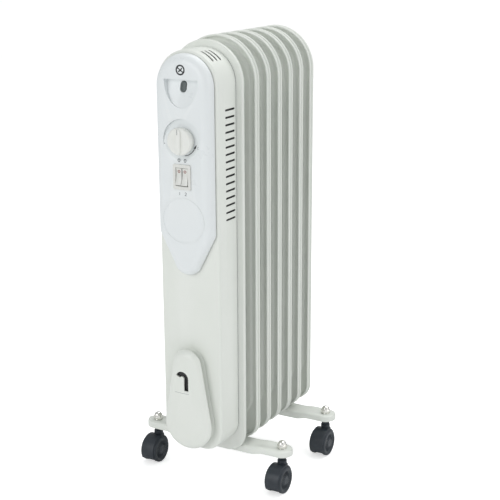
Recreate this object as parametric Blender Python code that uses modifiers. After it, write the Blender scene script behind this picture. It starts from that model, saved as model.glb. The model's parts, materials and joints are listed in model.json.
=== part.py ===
"""Oil filled radiator heater: seven oil filled fins on two header pipes, a sheet steel control box with a
moulded panel, a cord store, and two pressed feet on four twin wheel castors.

Metres, +Z up, the control panel faces -Y, and the origin is on the floor below the middle of the heater.
"""

import math

import bmesh
import bpy
from mathutils import Matrix, Vector

MM = 0.001

# ---- Driving dimensions -------------------------------------------------------------------------

# Fins
FIN_COUNT = 7
FIN_PITCH = 31.46 * MM
FIN_HALF = 58.5 * MM
FIN_BOTTOM = 59.0 * MM
FIN_CORNER = 25.0 * MM
ARCH_Z = 561.5 * MM          # height of the centre that every arched outline shares
RIM_DEPTH = 11.0 * MM        # T-shaped edge of a fin, front to back
WEB = 1.6 * MM               # the two sheets of a fin where they are welded
CHANNEL_DEPTH = 6.4 * MM     # over the embossed oil channel
CHANNEL_MARGIN = 10.5 * MM   # from the fin's side to the channel
CHANNEL_BOTTOM = 87.0 * MM
CHANNEL_CORNER = 34.0 * MM
CHANNEL_SLOPE = 1.6 * MM
FIRST_FIN_SPACE = 1.0 * MM   # round the first fin, inside the box's rim
FIRST_RIM_DEPTH = 7.8 * MM

# Headers and heating element
HEADER_R = 17.0 * MM
HEADER_BORE = 12.5 * MM
HEADER_LOW_Z = 121.0 * MM
HEADER_HIGH_Z = 540.0 * MM
FRONT_STUB = 11.0 * MM       # front header stubs, from the first fin's middle plane
REAR_STUB = 4.8 * MM
PLUG_HEAD = 4.0 * MM
PLUG_SPIGOT = 6.0 * MM
ELEMENT_R = 3.2 * MM
ELEMENT_SPREAD = 6.0 * MM    # from the header's axis to each leg
ELEMENT_END_CLEAR = 12.0 * MM
TERMINAL_LENGTH = 12.0 * MM

# Control box
BOX_HALF = 45.5 * MM
BOX_DEPTH = 46.0 * MM        # front face to the rim's face
BOX_BOTTOM = 66.0 * MM
BOX_CORNER = 30.0 * MM
BOX_EDGE = 3.5 * MM
SHEET = 1.0 * MM
LIP_INSET = 4.0 * MM         # rim's sides, inside the fins' sides
LIP_BOTTOM = 49.0 * MM
LIP_CORNER = 29.0 * MM
LIP_EDGE = 2.4 * MM
LIP_DEPTH = 3.6 * MM
LIP_FORWARD = 2.0 * MM       # rim's face in front of the first fin's place
SIDE_SLOTS = 16
SIDE_SLOT_TOP = 531.0 * MM
SIDE_SLOT_STEP = 9.53 * MM
SIDE_SLOT_LENGTH = 22.0 * MM
SIDE_SLOT_HEIGHT = 2.2 * MM
SIDE_SLOT_BACK = 5.0 * MM    # from the rim's face to the slots
TOP_SLOTS = 3
TOP_SLOT_STEP = 9.0 * MM
TOP_SLOT_START = 12.0 * MM   # from the box's front face to the first slot
TOP_SLOT_WIDTH = 2.2 * MM
TOP_SLOT_FROM = 18.0         # degrees from the top of the arch
TOP_SLOT_TO = 47.0

# Control panel
PANEL_HALF = 41.5 * MM
PANEL_SHOULDER_Z = 374.0 * MM
PANEL_SHOULDER_R = 15.0 * MM
PANEL_TIP_Z = 334.0 * MM
PANEL_TIP_R = 20.0 * MM
PANEL_CROWN = 13.7 * MM
PANEL_FLAT_INSET = 13.5 * MM
PANEL_WALL = 2.4 * MM
SCOOP_HALF = 25.0 * MM
SCOOP_TOP = 571.0 * MM
SCOOP_HEIGHT = 36.0 * MM
SCOOP_DEPTH = 9.4 * MM
LENS_R = 4.6 * MM
LENS_LOW_Z = 559.2 * MM
LENS_LENGTH = 14.0 * MM
LENS_DEPTH = 8.0 * MM

# Thermostat
KNOB_Z = 493.6 * MM
KNOB_R = 17.9 * MM
KNOB_DEPTH = 11.2 * MM
KNOB_GRIP = 3.0 * MM         # grip bar above the knob's face
KNOB_GRIP_WIDTH = 7.0 * MM
DISH_R = 29.0 * MM
DISH_DEPTH = 3.5 * MM
SHAFT_R = 3.0 * MM
BUSHING_R = 6.0 * MM
THERMOSTAT_SIZE = (30.0 * MM, 19.0 * MM, 36.0 * MM)

# Switch
SWITCH_Z = 447.0 * MM
BEZEL_SIZE = (26.0 * MM, 33.0 * MM)
BEZEL_THICK = 1.8 * MM
SWITCH_BODY = (22.6 * MM, 28.0 * MM)
SWITCH_BACK = 25.0 * MM      # behind the bezel
ROCKER_SIZE = (8.6 * MM, 22.6 * MM)
ROCKER_DEPTH = 8.0 * MM
ROCKER_DISH = 2.0 * MM       # the rocker's waist lies this far behind its two ends
ROCKER_TILT = 9.0            # degrees either side of level
POCKET_DEPTH = 12.0 * MM

# Cord store
STORE_TOP_Z = 190.0 * MM
STORE_TOP_R = 22.0 * MM
STORE_LOW_Z = 105.5 * MM
STORE_LOW_R = 36.6 * MM
STORE_REACH = 19.0 * MM      # front of its cover, from the box's face
STORE_COVER_DEPTH = 8.0 * MM
STORE_COVER_WALL = 2.2 * MM
NECK_INSET = 9.0 * MM
NECK_FLANGE = 1.2 * MM
NECK_SLOPE = 1.2 * MM
NECK_WALL = 2.0 * MM
HOOK_SLOT = 6.8 * MM
HOOK_BEND_R = 6.5 * MM
HOOK_Z = 172.0 * MM
HOOK_LEG = 17.0 * MM
HOOK_X = -4.5 * MM

# Feet
FOOT_HALF = 117.5 * MM
FOOT_WIDTH = 31.2 * MM
FOOT_RISE = 1.9 * MM         # of its ends, above the middle
FOOT_RISE_FROM = 60.0 * MM
FOOT_RISE_TO = 80.0 * MM
FOOT_SKIRT = 10.4 * MM       # at the middle, and at the ends below
FOOT_END_SKIRT = 8.6 * MM
FOOT_SHEET = 2.0 * MM
FOOT_EDGE = 2.5 * MM
FOOT_SPACE = 0.8 * MM        # from the box's rim to the front foot
REAR_FOOT_FORWARD = 2.0 * MM # of the last fin but one
HOOK_BOLT_R = 2.5 * MM
WING_NUT_R = 5.5 * MM
WING_NUT_HEIGHT = 6.0 * MM
WING_SPAN = 13.0 * MM
WING_THICK = 2.0 * MM

# Castors
STUD_X = 102.6 * MM
STUD_R = 3.6 * MM
STUD_SEAT = 3.0 * MM         # under the stud, above the hood's rear opening
WHEEL_R = 18.8 * MM
WHEEL_WIDTH = 6.6 * MM
CASTOR_WEB = 11.4 * MM
CASTOR_TRAIL = 11.0 * MM
HOOD_WALL = 1.9 * MM
HOOD_CLEAR = 0.4 * MM
HOOD_LOW = 9.0 * MM         # the hood's front edge, above the floor
HOOD_REAR_LOW = 24.0 * MM
AXLE_R = 3.0 * MM
BOSS_R = 6.5 * MM
BOSS_RISE = 6.0 * MM         # above the wheels' tops
COLLAR_R = 5.6 * MM
NUT_ACROSS = 12.6 * MM
NUT_HEX = 5.5 * MM
NUT_DOME = 5.2 * MM

# Small parts inside the box
CUTOUT_R = 8.0 * MM
CUTOUT_DEPTH = 6.0 * MM
CUTOUT_Z = 300.0 * MM
BLOCK_SIZE = (30.0 * MM, 14.0 * MM, 18.0 * MM)
BLOCK_Z = 250.0 * MM
GLAND_R = 6.5 * MM
GLAND_FLANGE_R = 9.5 * MM
GLAND_FLANGE = 2.5 * MM
GLAND_BORE = 3.8 * MM
GLAND_LENGTH = 10.0 * MM
LEAD_R = 1.1 * MM

# Clearances
GAP = 0.3 * MM               # between pieces that touch
RUN_GAP = 0.4 * MM           # round moving pieces

# Facets
ARCH_STEPS = 12
CORNER_STEPS = 4
ROUND_STEPS = 16

# ---- Places that follow from the dimensions -----------------------------------------------------

KNOB_REACH = PANEL_CROWN - DISH_DEPTH + GAP + KNOB_DEPTH + KNOB_GRIP
FRONT_REACH = LIP_FORWARD + BOX_DEPTH + max(STORE_REACH, KNOB_REACH + GAP)
BACK_REACH = (FIN_COUNT - 1) * FIN_PITCH + RIM_DEPTH / 2
FIRST_FIN_Y = (FRONT_REACH - BACK_REACH) / 2
RIM_Y = FIRST_FIN_Y - LIP_FORWARD
LIP_HALF = FIN_HALF - LIP_INSET
BOX_Y = RIM_Y - BOX_DEPTH
PANEL_Y = BOX_Y - GAP
PANEL_FACE_Y = PANEL_Y - PANEL_CROWN
DISH_Y = PANEL_FACE_Y + DISH_DEPTH
KNOB_BACK_Y = DISH_Y - GAP
KNOB_FACE_Y = KNOB_BACK_Y - KNOB_DEPTH
FOOT_TOP = FIN_BOTTOM - GAP
FOOT_END_TOP = FOOT_TOP + FOOT_RISE
FIRST_FIN_BACK = SHEET + 2 * GAP + FIRST_RIM_DEPTH / 2 - LIP_FORWARD
WHEEL_Z = WHEEL_R
BOSS_TOP = 2 * WHEEL_R + BOSS_RISE
HOOD_R = WHEEL_R + HOOD_CLEAR + HOOD_WALL


def fin_y(place):
    """Middle plane of the fin that is `place` pitches behind the first."""
    return FIRST_FIN_Y + place * FIN_PITCH


FOOT_Y = {"front": RIM_Y + LIP_DEPTH + FOOT_SPACE + FOOT_WIDTH / 2,
          "rear": fin_y(FIN_COUNT - 2) - REAR_FOOT_FORWARD}


# ---- Scene, materials and small helpers ---------------------------------------------------------

def clear_scene():
    for obj in list(bpy.data.objects):
        bpy.data.objects.remove(obj, do_unlink=True)
    for collection in list(bpy.data.collections):
        bpy.data.collections.remove(collection)


def new_collection(name, hidden=False):
    collection = bpy.data.collections.new(name)
    bpy.context.scene.collection.children.link(collection)
    collection.hide_render = hidden
    return collection


def material(name, colour, roughness, metallic=0.0):
    made = bpy.data.materials.new(name)
    made.use_nodes = True
    shader = made.node_tree.nodes["Principled BSDF"]
    shader.inputs["Base Color"].default_value = (*colour, 1.0)
    shader.inputs["Roughness"].default_value = roughness
    shader.inputs["Metallic"].default_value = metallic
    return made


def add_object(name, data, finish=None, cutter=False):
    obj = bpy.data.objects.new(name, data)
    (CUTTERS if cutter else HEATER).objects.link(obj)
    if cutter:
        obj.hide_render = True
        obj.display_type = "WIRE"
    elif finish:
        data.materials.clear()
        data.materials.append(finish)
    return obj


def mesh_from(bm, name, smooth_angle=35.0):
    bmesh.ops.recalc_face_normals(bm, faces=bm.faces)
    data = bpy.data.meshes.new(name)
    bm.to_mesh(data)
    bm.free()
    data.shade_smooth()
    data.set_sharp_from_angle(angle=math.radians(smooth_angle))
    return data


def cylinder_mesh(name, radius, length, centre, axis="Y", steps=ROUND_STEPS, tip_radius=None):
    """A closed cylinder or cone along an axis; the tip is its high end."""
    bm = bmesh.new()
    turn = {"X": Matrix.Rotation(math.radians(90), 4, "Y"),
            "Y": Matrix.Rotation(math.radians(-90), 4, "X"),
            "Z": Matrix.Identity(4)}[axis]
    bmesh.ops.create_cone(bm, cap_ends=True, segments=steps, radius1=radius,
                          radius2=radius if tip_radius is None else tip_radius, depth=length,
                          matrix=Matrix.Translation(centre) @ turn)
    return mesh_from(bm, name)


def box_mesh(name, size, centre, edge=0.0):
    bm = bmesh.new()
    bmesh.ops.create_cube(bm, size=1.0, matrix=Matrix.Translation(centre) @ Matrix.Diagonal((*size, 1.0)))
    if edge:
        bmesh.ops.bevel(bm, geom=bm.edges[:], offset=edge, segments=1, affect="EDGES")
    return mesh_from(bm, name)


def boolean(obj, other, operation="DIFFERENCE"):
    modifier = obj.modifiers.new(f"{operation.lower()} {other.name}", "BOOLEAN")
    modifier.operation = operation
    modifier.object = other
    modifier.solver = "EXACT"


def solidify(obj, thickness, offset=-1.0):
    modifier = obj.modifiers.new("sheet", "SOLIDIFY")
    modifier.thickness = thickness
    modifier.offset = offset
    modifier.use_even_offset = True


def settled_mesh(obj, name):
    """The object's shape with its modifiers, as plain mesh data in world space."""
    bpy.context.view_layer.update()
    evaluated = obj.evaluated_get(bpy.context.evaluated_depsgraph_get())
    data = bpy.data.meshes.new_from_object(evaluated)
    data.transform(obj.matrix_world)
    bm = bmesh.new()
    bm.from_mesh(data)
    bmesh.ops.remove_doubles(bm, verts=bm.verts, dist=0.0001 * MM)
    bpy.data.meshes.remove(data)
    return mesh_from(bm, name)


def settle(obj):
    """Replaces the object by its settled mesh, so that later cutters can be shared or removed."""
    name, finish = obj.name, obj.data.materials[0] if obj.data.materials else None
    data = settled_mesh(obj, name)
    bpy.data.objects.remove(obj, do_unlink=True)
    return add_object(name, data, finish)


# ---- Outlines and lofts -------------------------------------------------------------------------

def hull_outline(circles, inset=0.0):
    """Counter-clockwise outline round circles (across, up, radius, steps), joined by their tangents."""
    normals = []
    for (x0, z0, r0, _), (x1, z1, r1, _) in zip(circles, circles[1:] + circles[:1]):
        distance = math.hypot(x1 - x0, z1 - z0)
        normals.append(math.atan2(z1 - z0, x1 - x0) - math.pi / 2 + math.asin((r0 - r1) / distance))
    points = []
    for place, (x, z, radius, steps) in enumerate(circles):
        start = normals[place - 1]
        sweep = (normals[place] - start) % (2 * math.pi)
        for step in range(steps + 1):
            angle = start + sweep * step / steps
            points.append((x + (radius - inset) * math.cos(angle), z + (radius - inset) * math.sin(angle)))
    return points


def arch_outline(half, bottom, corner, inset=0.0):
    """Half round at the top and two round corners at the bottom."""
    across = half - corner
    return hull_outline([(0.0, ARCH_Z, half, ARCH_STEPS),
                         (-across, bottom + corner, corner, CORNER_STEPS),
                         (across, bottom + corner, corner, CORNER_STEPS)], inset)


def panel_outline(inset=0.0):
    across = PANEL_HALF - PANEL_SHOULDER_R
    return hull_outline([(0.0, ARCH_Z, PANEL_HALF, ARCH_STEPS),
                         (-across, PANEL_SHOULDER_Z, PANEL_SHOULDER_R, 3),
                         (0.0, PANEL_TIP_Z, PANEL_TIP_R, 6),
                         (across, PANEL_SHOULDER_Z, PANEL_SHOULDER_R, 3)], inset)


def store_outline(inset=0.0):
    return hull_outline([(0.0, STORE_TOP_Z, STORE_TOP_R, 9), (0.0, STORE_LOW_Z, STORE_LOW_R, 12)], inset)


def loft_mesh(name, sections, cap_front=False, cap_back=False, ring=False, smooth_angle=35.0):
    """Skins outlines of equal length, each given as (outline, y), from the front of the piece to its back."""
    bm = bmesh.new()
    loops = [[bm.verts.new((x, y, z)) for x, z in outline] for outline, y in sections]
    followers = loops[1:] + loops[:1] if ring else loops[1:]
    for near, far in zip(loops, followers):
        for i in range(len(near)):
            j = (i + 1) % len(near)
            bm.faces.new((near[i], far[i], far[j], near[j]))
    if cap_front:
        bm.faces.new(loops[0])
    if cap_back:
        bm.faces.new(reversed(loops[-1]))
    data = bpy.data.meshes.new(name)
    if ring or (cap_front and cap_back):
        bmesh.ops.recalc_face_normals(bm, faces=bm.faces)
    bm.to_mesh(data)
    bm.free()
    data.shade_smooth()
    data.set_sharp_from_angle(angle=math.radians(smooth_angle))
    return data


def prism_mesh(name, outline, y_front, y_back):
    """A flat outline in the XZ plane, filled and given a thickness."""
    curve = bpy.data.curves.new(name, "CURVE")
    curve.dimensions = "2D"
    curve.fill_mode = "BOTH"
    curve.extrude = (y_back - y_front) / 2
    spline = curve.splines.new("POLY")
    spline.points.add(len(outline) - 1)
    for point, (x, z) in zip(spline.points, outline):
        point.co = (x, z, 0.0, 1.0)
    spline.use_cyclic_u = True
    guide = add_object(f"{name} guide", curve, cutter=True)
    guide.rotation_euler = (math.radians(90), 0.0, 0.0)
    guide.location = (0.0, (y_front + y_back) / 2, 0.0)
    data = settled_mesh(guide, name)
    bpy.data.objects.remove(guide, do_unlink=True)
    return data


def turned_mesh(name, profile, centre, axis="Z", steps=ROUND_STEPS):
    """A profile of (radius, height) points, turned about an axis by a Screw; both ends lie on the axis."""
    data = bpy.data.meshes.new(name)
    data.from_pydata([(radius, 0.0, height) for radius, height in profile], [
        (i, i + 1) for i in range(len(profile) - 1)], [])
    guide = add_object(f"{name} guide", data, cutter=True)
    screw = guide.modifiers.new("turn", "SCREW")
    screw.steps = steps
    screw.render_steps = steps
    screw.use_merge_vertices = True
    screw.merge_threshold = 0.00001
    if axis == "X":
        guide.rotation_euler = (0.0, math.radians(90), 0.0)
    elif axis == "Y":
        guide.rotation_euler = (math.radians(90), 0.0, 0.0)
    guide.location = centre
    turned = settled_mesh(guide, name)
    bpy.data.objects.remove(guide, do_unlink=True)
    return turned


def tube_mesh(name, points, radius, resolution=2):
    """A round bar or wire along points, with closed ends."""
    curve = bpy.data.curves.new(name, "CURVE")
    curve.dimensions = "3D"
    curve.bevel_depth = radius
    curve.bevel_resolution = resolution
    curve.use_fill_caps = True
    spline = curve.splines.new("POLY")
    spline.points.add(len(points) - 1)
    for point, place in zip(spline.points, points):
        point.co = (*place, 1.0)
    guide = add_object(f"{name} guide", curve, cutter=True)
    data = settled_mesh(guide, name)
    bpy.data.objects.remove(guide, do_unlink=True)
    return data


def arc_points(centre, radius, start, end, steps, across, up):
    """Points on an arc in the plane of two directions, angles in degrees from `across` towards `up`."""
    points = []
    for step in range(steps + 1):
        angle = math.radians(start + (end - start) * step / steps)
        turned = math.cos(angle) * Vector(across) + math.sin(angle) * Vector(up)
        points.append(Vector(centre) + radius * turned)
    return points


def smooth_route(points, steps=4):
    """Points of a smooth curve through a few chosen ones; its first and last stretches stay straight."""
    ends = [points[1]] + list(points[1:-1]) + [points[-2]]
    route = [Vector(points[0])]
    for before, start, end, after in zip(ends, ends[1:], ends[2:], ends[3:]):
        for step in range(steps):
            t = step / steps
            a, b, c, d = (Vector(p) for p in (before, start, end, after))
            route.append(0.5 * (2 * b + (c - a) * t + (2 * a - 5 * b + 4 * c - d) * t ** 2
                                + (3 * b - a - 3 * c + d) * t ** 3))
    route += [Vector(points[-2]), Vector(points[-1])]
    return route


# ---- Fins and headers ---------------------------------------------------------------------------

def fin_mesh(name, half, bottom, rim_depth, front, back):
    """One fin about y = 0: T-shaped edge, embossed oil channel, and header collars with open bores.

    `front` and `back` are how far its collars reach.
    """
    corner = FIN_CORNER - (FIN_HALF - half)
    roll = rim_depth / 4
    channel_half = min(FIN_HALF - CHANNEL_MARGIN, half - 2 * roll - CHANNEL_SLOPE - WEB)

    def edge(inset):
        return arch_outline(half, bottom, corner, inset)

    def channel(grow):
        return arch_outline(channel_half, CHANNEL_BOTTOM, CHANNEL_CORNER, -grow)

    mid, web = CHANNEL_DEPTH / 2, WEB / 2
    half_way = [(channel(0), -mid), (channel(CHANNEL_SLOPE), -web), (edge(2 * roll), -web),
                (edge(2 * roll), -2 * roll), (edge(0.5 * roll), -2 * roll), (edge(0), -1.5 * roll)]
    groove = [(edge(0.35 * roll), 0.0)]
    other_half = [(outline, -y) for outline, y in reversed(half_way)]
    fin = add_object(name, loft_mesh(name, half_way + groove + other_half, cap_front=True, cap_back=True))
    middle = (back - front) / 2
    cutters = []
    for height in (HEADER_LOW_Z, HEADER_HIGH_Z):
        collar = add_object("collar", cylinder_mesh("collar", HEADER_R, front + back, (0, middle, height)),
                            cutter=True)
        boolean(fin, collar, "UNION")
        cutters.append(collar)
    for height in (HEADER_LOW_Z, HEADER_HIGH_Z):
        bore = cylinder_mesh("bore", HEADER_BORE, front + back + 2 * MM, (0, middle, height))
        cutters.append(add_object("bore", bore, cutter=True))
        boolean(fin, cutters[-1])
    data = settled_mesh(fin, name)
    for obj in [fin] + cutters:
        bpy.data.objects.remove(obj, do_unlink=True)
    return data


def build_fins():
    reach = (FIN_PITCH - GAP) / 2
    first_half = LIP_HALF - SHEET - FIRST_FIN_SPACE
    first_reach = FIN_PITCH - FIRST_FIN_BACK - reach - GAP
    meshes = {0: fin_mesh("first fin", first_half, FIN_BOTTOM, FIRST_RIM_DEPTH,
                          FRONT_STUB, first_reach),
              FIN_COUNT - 1: fin_mesh("last fin", FIN_HALF, FIN_BOTTOM, RIM_DEPTH, reach, REAR_STUB)}
    middle = fin_mesh("middle fin", FIN_HALF, FIN_BOTTOM, RIM_DEPTH, reach, reach)
    for place in range(FIN_COUNT):
        fin = add_object(f"fin_{place + 1}", meshes.get(place, middle), STEEL_WHITE)
        fin.location.y = fin_y(place) + (FIRST_FIN_BACK if place == 0 else 0.0)


def build_header_plugs():
    """Three blank plugs of one shape; the fourth header end holds the heating element."""
    spigot = HEADER_BORE - GAP
    data = turned_mesh("header plug", [(0, PLUG_HEAD), (HEADER_R - 1.5 * MM, PLUG_HEAD),
                                       (HEADER_R, PLUG_HEAD - 1.5 * MM), (HEADER_R, 0), (spigot, 0),
                                       (spigot, -PLUG_SPIGOT), (0, -PLUG_SPIGOT)], (0, 0, 0), axis="Y")
    front = fin_y(0) + FIRST_FIN_BACK - FRONT_STUB - GAP
    plug = add_object("header_plug_front", data, STEEL_WHITE)
    plug.location = (0, front, HEADER_HIGH_Z)
    shallow = turned_mesh("rear plug", [(0, 0.5 * MM), (spigot, 0.5 * MM), (spigot, -PLUG_SPIGOT / 2),
                                        (0, -PLUG_SPIGOT / 2)], (0, 0, 0), axis="Y")
    for name, height in (("header_plug_rear_upper", HEADER_HIGH_Z), ("header_plug_rear_lower", HEADER_LOW_Z)):
        plug = add_object(name, shallow, STEEL_WHITE)
        plug.rotation_euler.z = math.pi
        plug.location = (0, fin_y(FIN_COUNT - 1) + REAR_STUB, height)


def build_element():
    """A U-shaped tubular element in the lower header, held by a flange at its front end."""
    front = fin_y(0) + FIRST_FIN_BACK - FRONT_STUB - GAP
    start = front - PLUG_HEAD - TERMINAL_LENGTH
    end = fin_y(FIN_COUNT - 1) - ELEMENT_END_CLEAR - ELEMENT_SPREAD
    points = [Vector((ELEMENT_SPREAD, start, HEADER_LOW_Z)), Vector((ELEMENT_SPREAD, end, HEADER_LOW_Z))]
    bend = arc_points((0, end, HEADER_LOW_Z), ELEMENT_SPREAD, 0, 180, 8, (1, 0, 0), (0, 1, 0))
    points += bend[1:-1]
    points += [Vector((-ELEMENT_SPREAD, end, HEADER_LOW_Z)), Vector((-ELEMENT_SPREAD, start, HEADER_LOW_Z))]
    add_object("heating_element", tube_mesh("heating_element", points, ELEMENT_R), COPPER)
    spigot = HEADER_BORE - GAP
    flange = add_object("element_flange", turned_mesh("element_flange", [
        (0, PLUG_HEAD), (HEADER_R, PLUG_HEAD), (HEADER_R, 0), (spigot, 0), (spigot, -PLUG_SPIGOT),
        (0, -PLUG_SPIGOT)], (0, front, HEADER_LOW_Z), axis="Y"), BRASS)
    cutters = []
    for side in (-1, 1):
        hole = cylinder_mesh("leg hole", ELEMENT_R + GAP, 4 * PLUG_HEAD + 2 * PLUG_SPIGOT,
                             (side * ELEMENT_SPREAD, front, HEADER_LOW_Z))
        cutters.append(add_object("leg hole", hole, cutter=True))
        boolean(flange, cutters[-1])
    settle(flange)
    for obj in cutters:
        bpy.data.objects.remove(obj, do_unlink=True)


# ---- Control box --------------------------------------------------------------------------------

def rounded_edge(half, bottom, corner, edge, y_face, steps=3):
    """Sections of a quarter round edge that starts on a front face and ends on its side."""
    sections = []
    for step in range(steps + 1):
        angle = math.radians(90 * step / steps)
        inset = edge * (1 - math.sin(angle))
        sections.append((arch_outline(half, bottom, corner, inset), y_face + edge * (1 - math.cos(angle))))
    return sections


def side_slot_cutters():
    """One cutter a row, which opens both sides of the box at once."""
    y = RIM_Y - SIDE_SLOT_BACK - SIDE_SLOT_LENGTH / 2
    cutters = []
    for row in range(SIDE_SLOTS):
        height = SIDE_SLOT_TOP - row * SIDE_SLOT_STEP
        size = (2 * BOX_HALF + 4 * MM, SIDE_SLOT_LENGTH, SIDE_SLOT_HEIGHT)
        cutters.append(add_object("side slot", box_mesh("side slot", size, (0, y, height)), cutter=True))
    return cutters


def top_slot_cutters():
    """Short arcs over the arch, on both sides of its crown."""
    cutters = []
    inner, outer = BOX_HALF - 3 * SHEET, BOX_HALF + 2 * MM
    for side in (-1, 1):
        turns = [TOP_SLOT_FROM + (TOP_SLOT_TO - TOP_SLOT_FROM) * i / 5 for i in range(6)]
        angles = [math.radians(90 - side * turn) for turn in turns]
        outline = [(outer * math.cos(a), ARCH_Z + outer * math.sin(a)) for a in angles]
        outline += [(inner * math.cos(a), ARCH_Z + inner * math.sin(a)) for a in reversed(angles)]
        for row in range(TOP_SLOTS):
            y = BOX_Y + TOP_SLOT_START + row * TOP_SLOT_STEP
            data = prism_mesh("top slot", outline, y - TOP_SLOT_WIDTH / 2, y + TOP_SLOT_WIDTH / 2)
            cutters.append(add_object("top slot", data, cutter=True))
    return cutters


def build_control_box():
    sections = rounded_edge(BOX_HALF, BOX_BOTTOM, BOX_CORNER, BOX_EDGE, BOX_Y)
    sections.append((arch_outline(BOX_HALF, BOX_BOTTOM, BOX_CORNER), RIM_Y))
    sections += rounded_edge(LIP_HALF, LIP_BOTTOM, LIP_CORNER, LIP_EDGE, RIM_Y, steps=2)
    sections.append((arch_outline(LIP_HALF, LIP_BOTTOM, LIP_CORNER), RIM_Y + LIP_DEPTH))
    box = add_object("control_box", loft_mesh("control_box", sections, cap_front=True), STEEL_WHITE)
    solidify(box, SHEET)
    through = 6 * SHEET
    cutters = side_slot_cutters() + top_slot_cutters()
    cutters.append(add_object("bushing hole", cylinder_mesh(
        "bushing hole", BUSHING_R + GAP, through, (0, BOX_Y, KNOB_Z)), cutter=True))
    cutters.append(add_object("switch hole", box_mesh(
        "switch hole", (SWITCH_BODY[0] + 2 * GAP, through, SWITCH_BODY[1] + 2 * GAP), (0, BOX_Y, SWITCH_Z)),
        cutter=True))
    cutters.append(add_object("lamp hole", cylinder_mesh(
        "lamp hole", LENS_R, through, (0, BOX_Y, LENS_LOW_Z)), cutter=True))
    cutters.append(add_object("gland hole", cylinder_mesh(
        "gland hole", GLAND_R + GAP, through, (0, gland_y(), BOX_BOTTOM), axis="Z"), cutter=True))
    for cutter in cutters:
        boolean(box, cutter)
    settle(box)
    for obj in cutters:
        bpy.data.objects.remove(obj, do_unlink=True)


def gland_y():
    return BOX_Y + BOX_DEPTH / 2


# ---- Control panel ------------------------------------------------------------------------------

def panel_sections(wall):
    """The panel's crowned front, or the hollow inside it when a wall is given."""
    rows = ((13.5, 13.0), (6.0, 11.2), (2.5, 8.6), (0.6, 4.8), (0.0, 0.0))
    sections = []
    for inset, height in rows:
        inset_here = inset / 13.5 * PANEL_FLAT_INSET + wall
        sections.append((panel_outline(inset_here), PANEL_Y - height / 13.0 * PANEL_CROWN + wall))
    return sections


def scoop_mesh(name, grow):
    """The scoop: a straight top edge, a half oval below it, and a floor that slopes in towards the top."""
    top, low = SCOOP_TOP + grow, SCOOP_HEIGHT + grow
    outline = [(-SCOOP_HALF - grow, top)]
    for step in range(13):
        angle = math.radians(180 + 180 * step / 12)
        outline.append(((SCOOP_HALF + grow) * math.cos(angle), SCOOP_TOP + low * math.sin(angle)))
    outline.append((SCOOP_HALF + grow, top))
    outline = outline if grow else outline[1:-1]
    data = prism_mesh(name, outline, PANEL_FACE_Y - 10 * MM, PANEL_FACE_Y)
    for vertex in data.vertices:
        if vertex.co.y > PANEL_FACE_Y - 5 * MM:
            share = (vertex.co.z - (SCOOP_TOP - SCOOP_HEIGHT)) / SCOOP_HEIGHT
            vertex.co.y = PANEL_FACE_Y + share * SCOOP_DEPTH + grow
    return data


def build_control_panel():
    panel = add_object("control_panel", loft_mesh("control_panel", panel_sections(0.0), cap_front=True,
                                                  cap_back=True), PLASTIC_WHITE)
    hollow_sections = panel_sections(PANEL_WALL)
    hollow_sections.append((hollow_sections[-1][0], PANEL_Y + 2 * PANEL_WALL))
    hollow = add_object("hollow", loft_mesh("hollow", hollow_sections, cap_front=True, cap_back=True),
                        cutter=True)
    liners = [add_object("scoop liner", scoop_mesh("scoop liner", PANEL_WALL), cutter=True),
              add_object("dish liner", cylinder_mesh(
                  "dish liner", DISH_R + PANEL_WALL, DISH_DEPTH + 2 * PANEL_WALL,
                  (0, PANEL_FACE_Y + DISH_DEPTH / 2, KNOB_Z), steps=2 * ROUND_STEPS), cutter=True)]
    for liner in liners:
        boolean(hollow, liner)
    boolean(panel, hollow)
    dish_height = DISH_DEPTH + PANEL_CROWN
    cuts = [add_object("scoop", scoop_mesh("scoop", 0.0), cutter=True),
            add_object("dish", cylinder_mesh(
                "dish", DISH_R, dish_height, (0, DISH_Y - dish_height / 2, KNOB_Z), steps=2 * ROUND_STEPS),
                cutter=True),
            add_object("bush hole", cylinder_mesh("bush hole", BUSHING_R + GAP, 4 * PANEL_CROWN,
                                                  (0, PANEL_Y, KNOB_Z)), cutter=True),
            add_object("switch hole", box_mesh("switch hole", (
                SWITCH_BODY[0] + 2 * GAP, 4 * PANEL_CROWN, SWITCH_BODY[1] + 2 * GAP), (0, PANEL_Y, SWITCH_Z)),
                cutter=True),
            add_object("lens hole", prism_mesh(
                "lens hole", lens_outline(GAP), PANEL_FACE_Y, PANEL_Y + PANEL_WALL), cutter=True)]
    for cutter in cuts:
        boolean(panel, cutter)
    settle(panel)
    for obj in [hollow] + liners + cuts:
        bpy.data.objects.remove(obj, do_unlink=True)


def lens_outline(grow):
    upper = (0.0, LENS_LOW_Z + LENS_LENGTH - 2 * LENS_R, LENS_R, 6)
    return hull_outline([upper, (0.0, LENS_LOW_Z, LENS_R, 6)], -grow)


def build_pilot_lens():
    """The lens is cut parallel to the scoop's floor and stands a little proud of it."""
    data = prism_mesh("pilot_lens", lens_outline(0.0), PANEL_FACE_Y, PANEL_FACE_Y + LENS_DEPTH)
    for vertex in data.vertices:
        share = (vertex.co.z - (SCOOP_TOP - SCOOP_HEIGHT)) / SCOOP_HEIGHT
        floor = PANEL_FACE_Y + share * SCOOP_DEPTH
        vertex.co.y = floor - 0.8 * MM if vertex.co.y < PANEL_FACE_Y + LENS_DEPTH / 2 else PANEL_Y - GAP
    add_object("pilot_lens", data, SMOKED)


# ---- Thermostat and switch ----------------------------------------------------------------------

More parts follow.
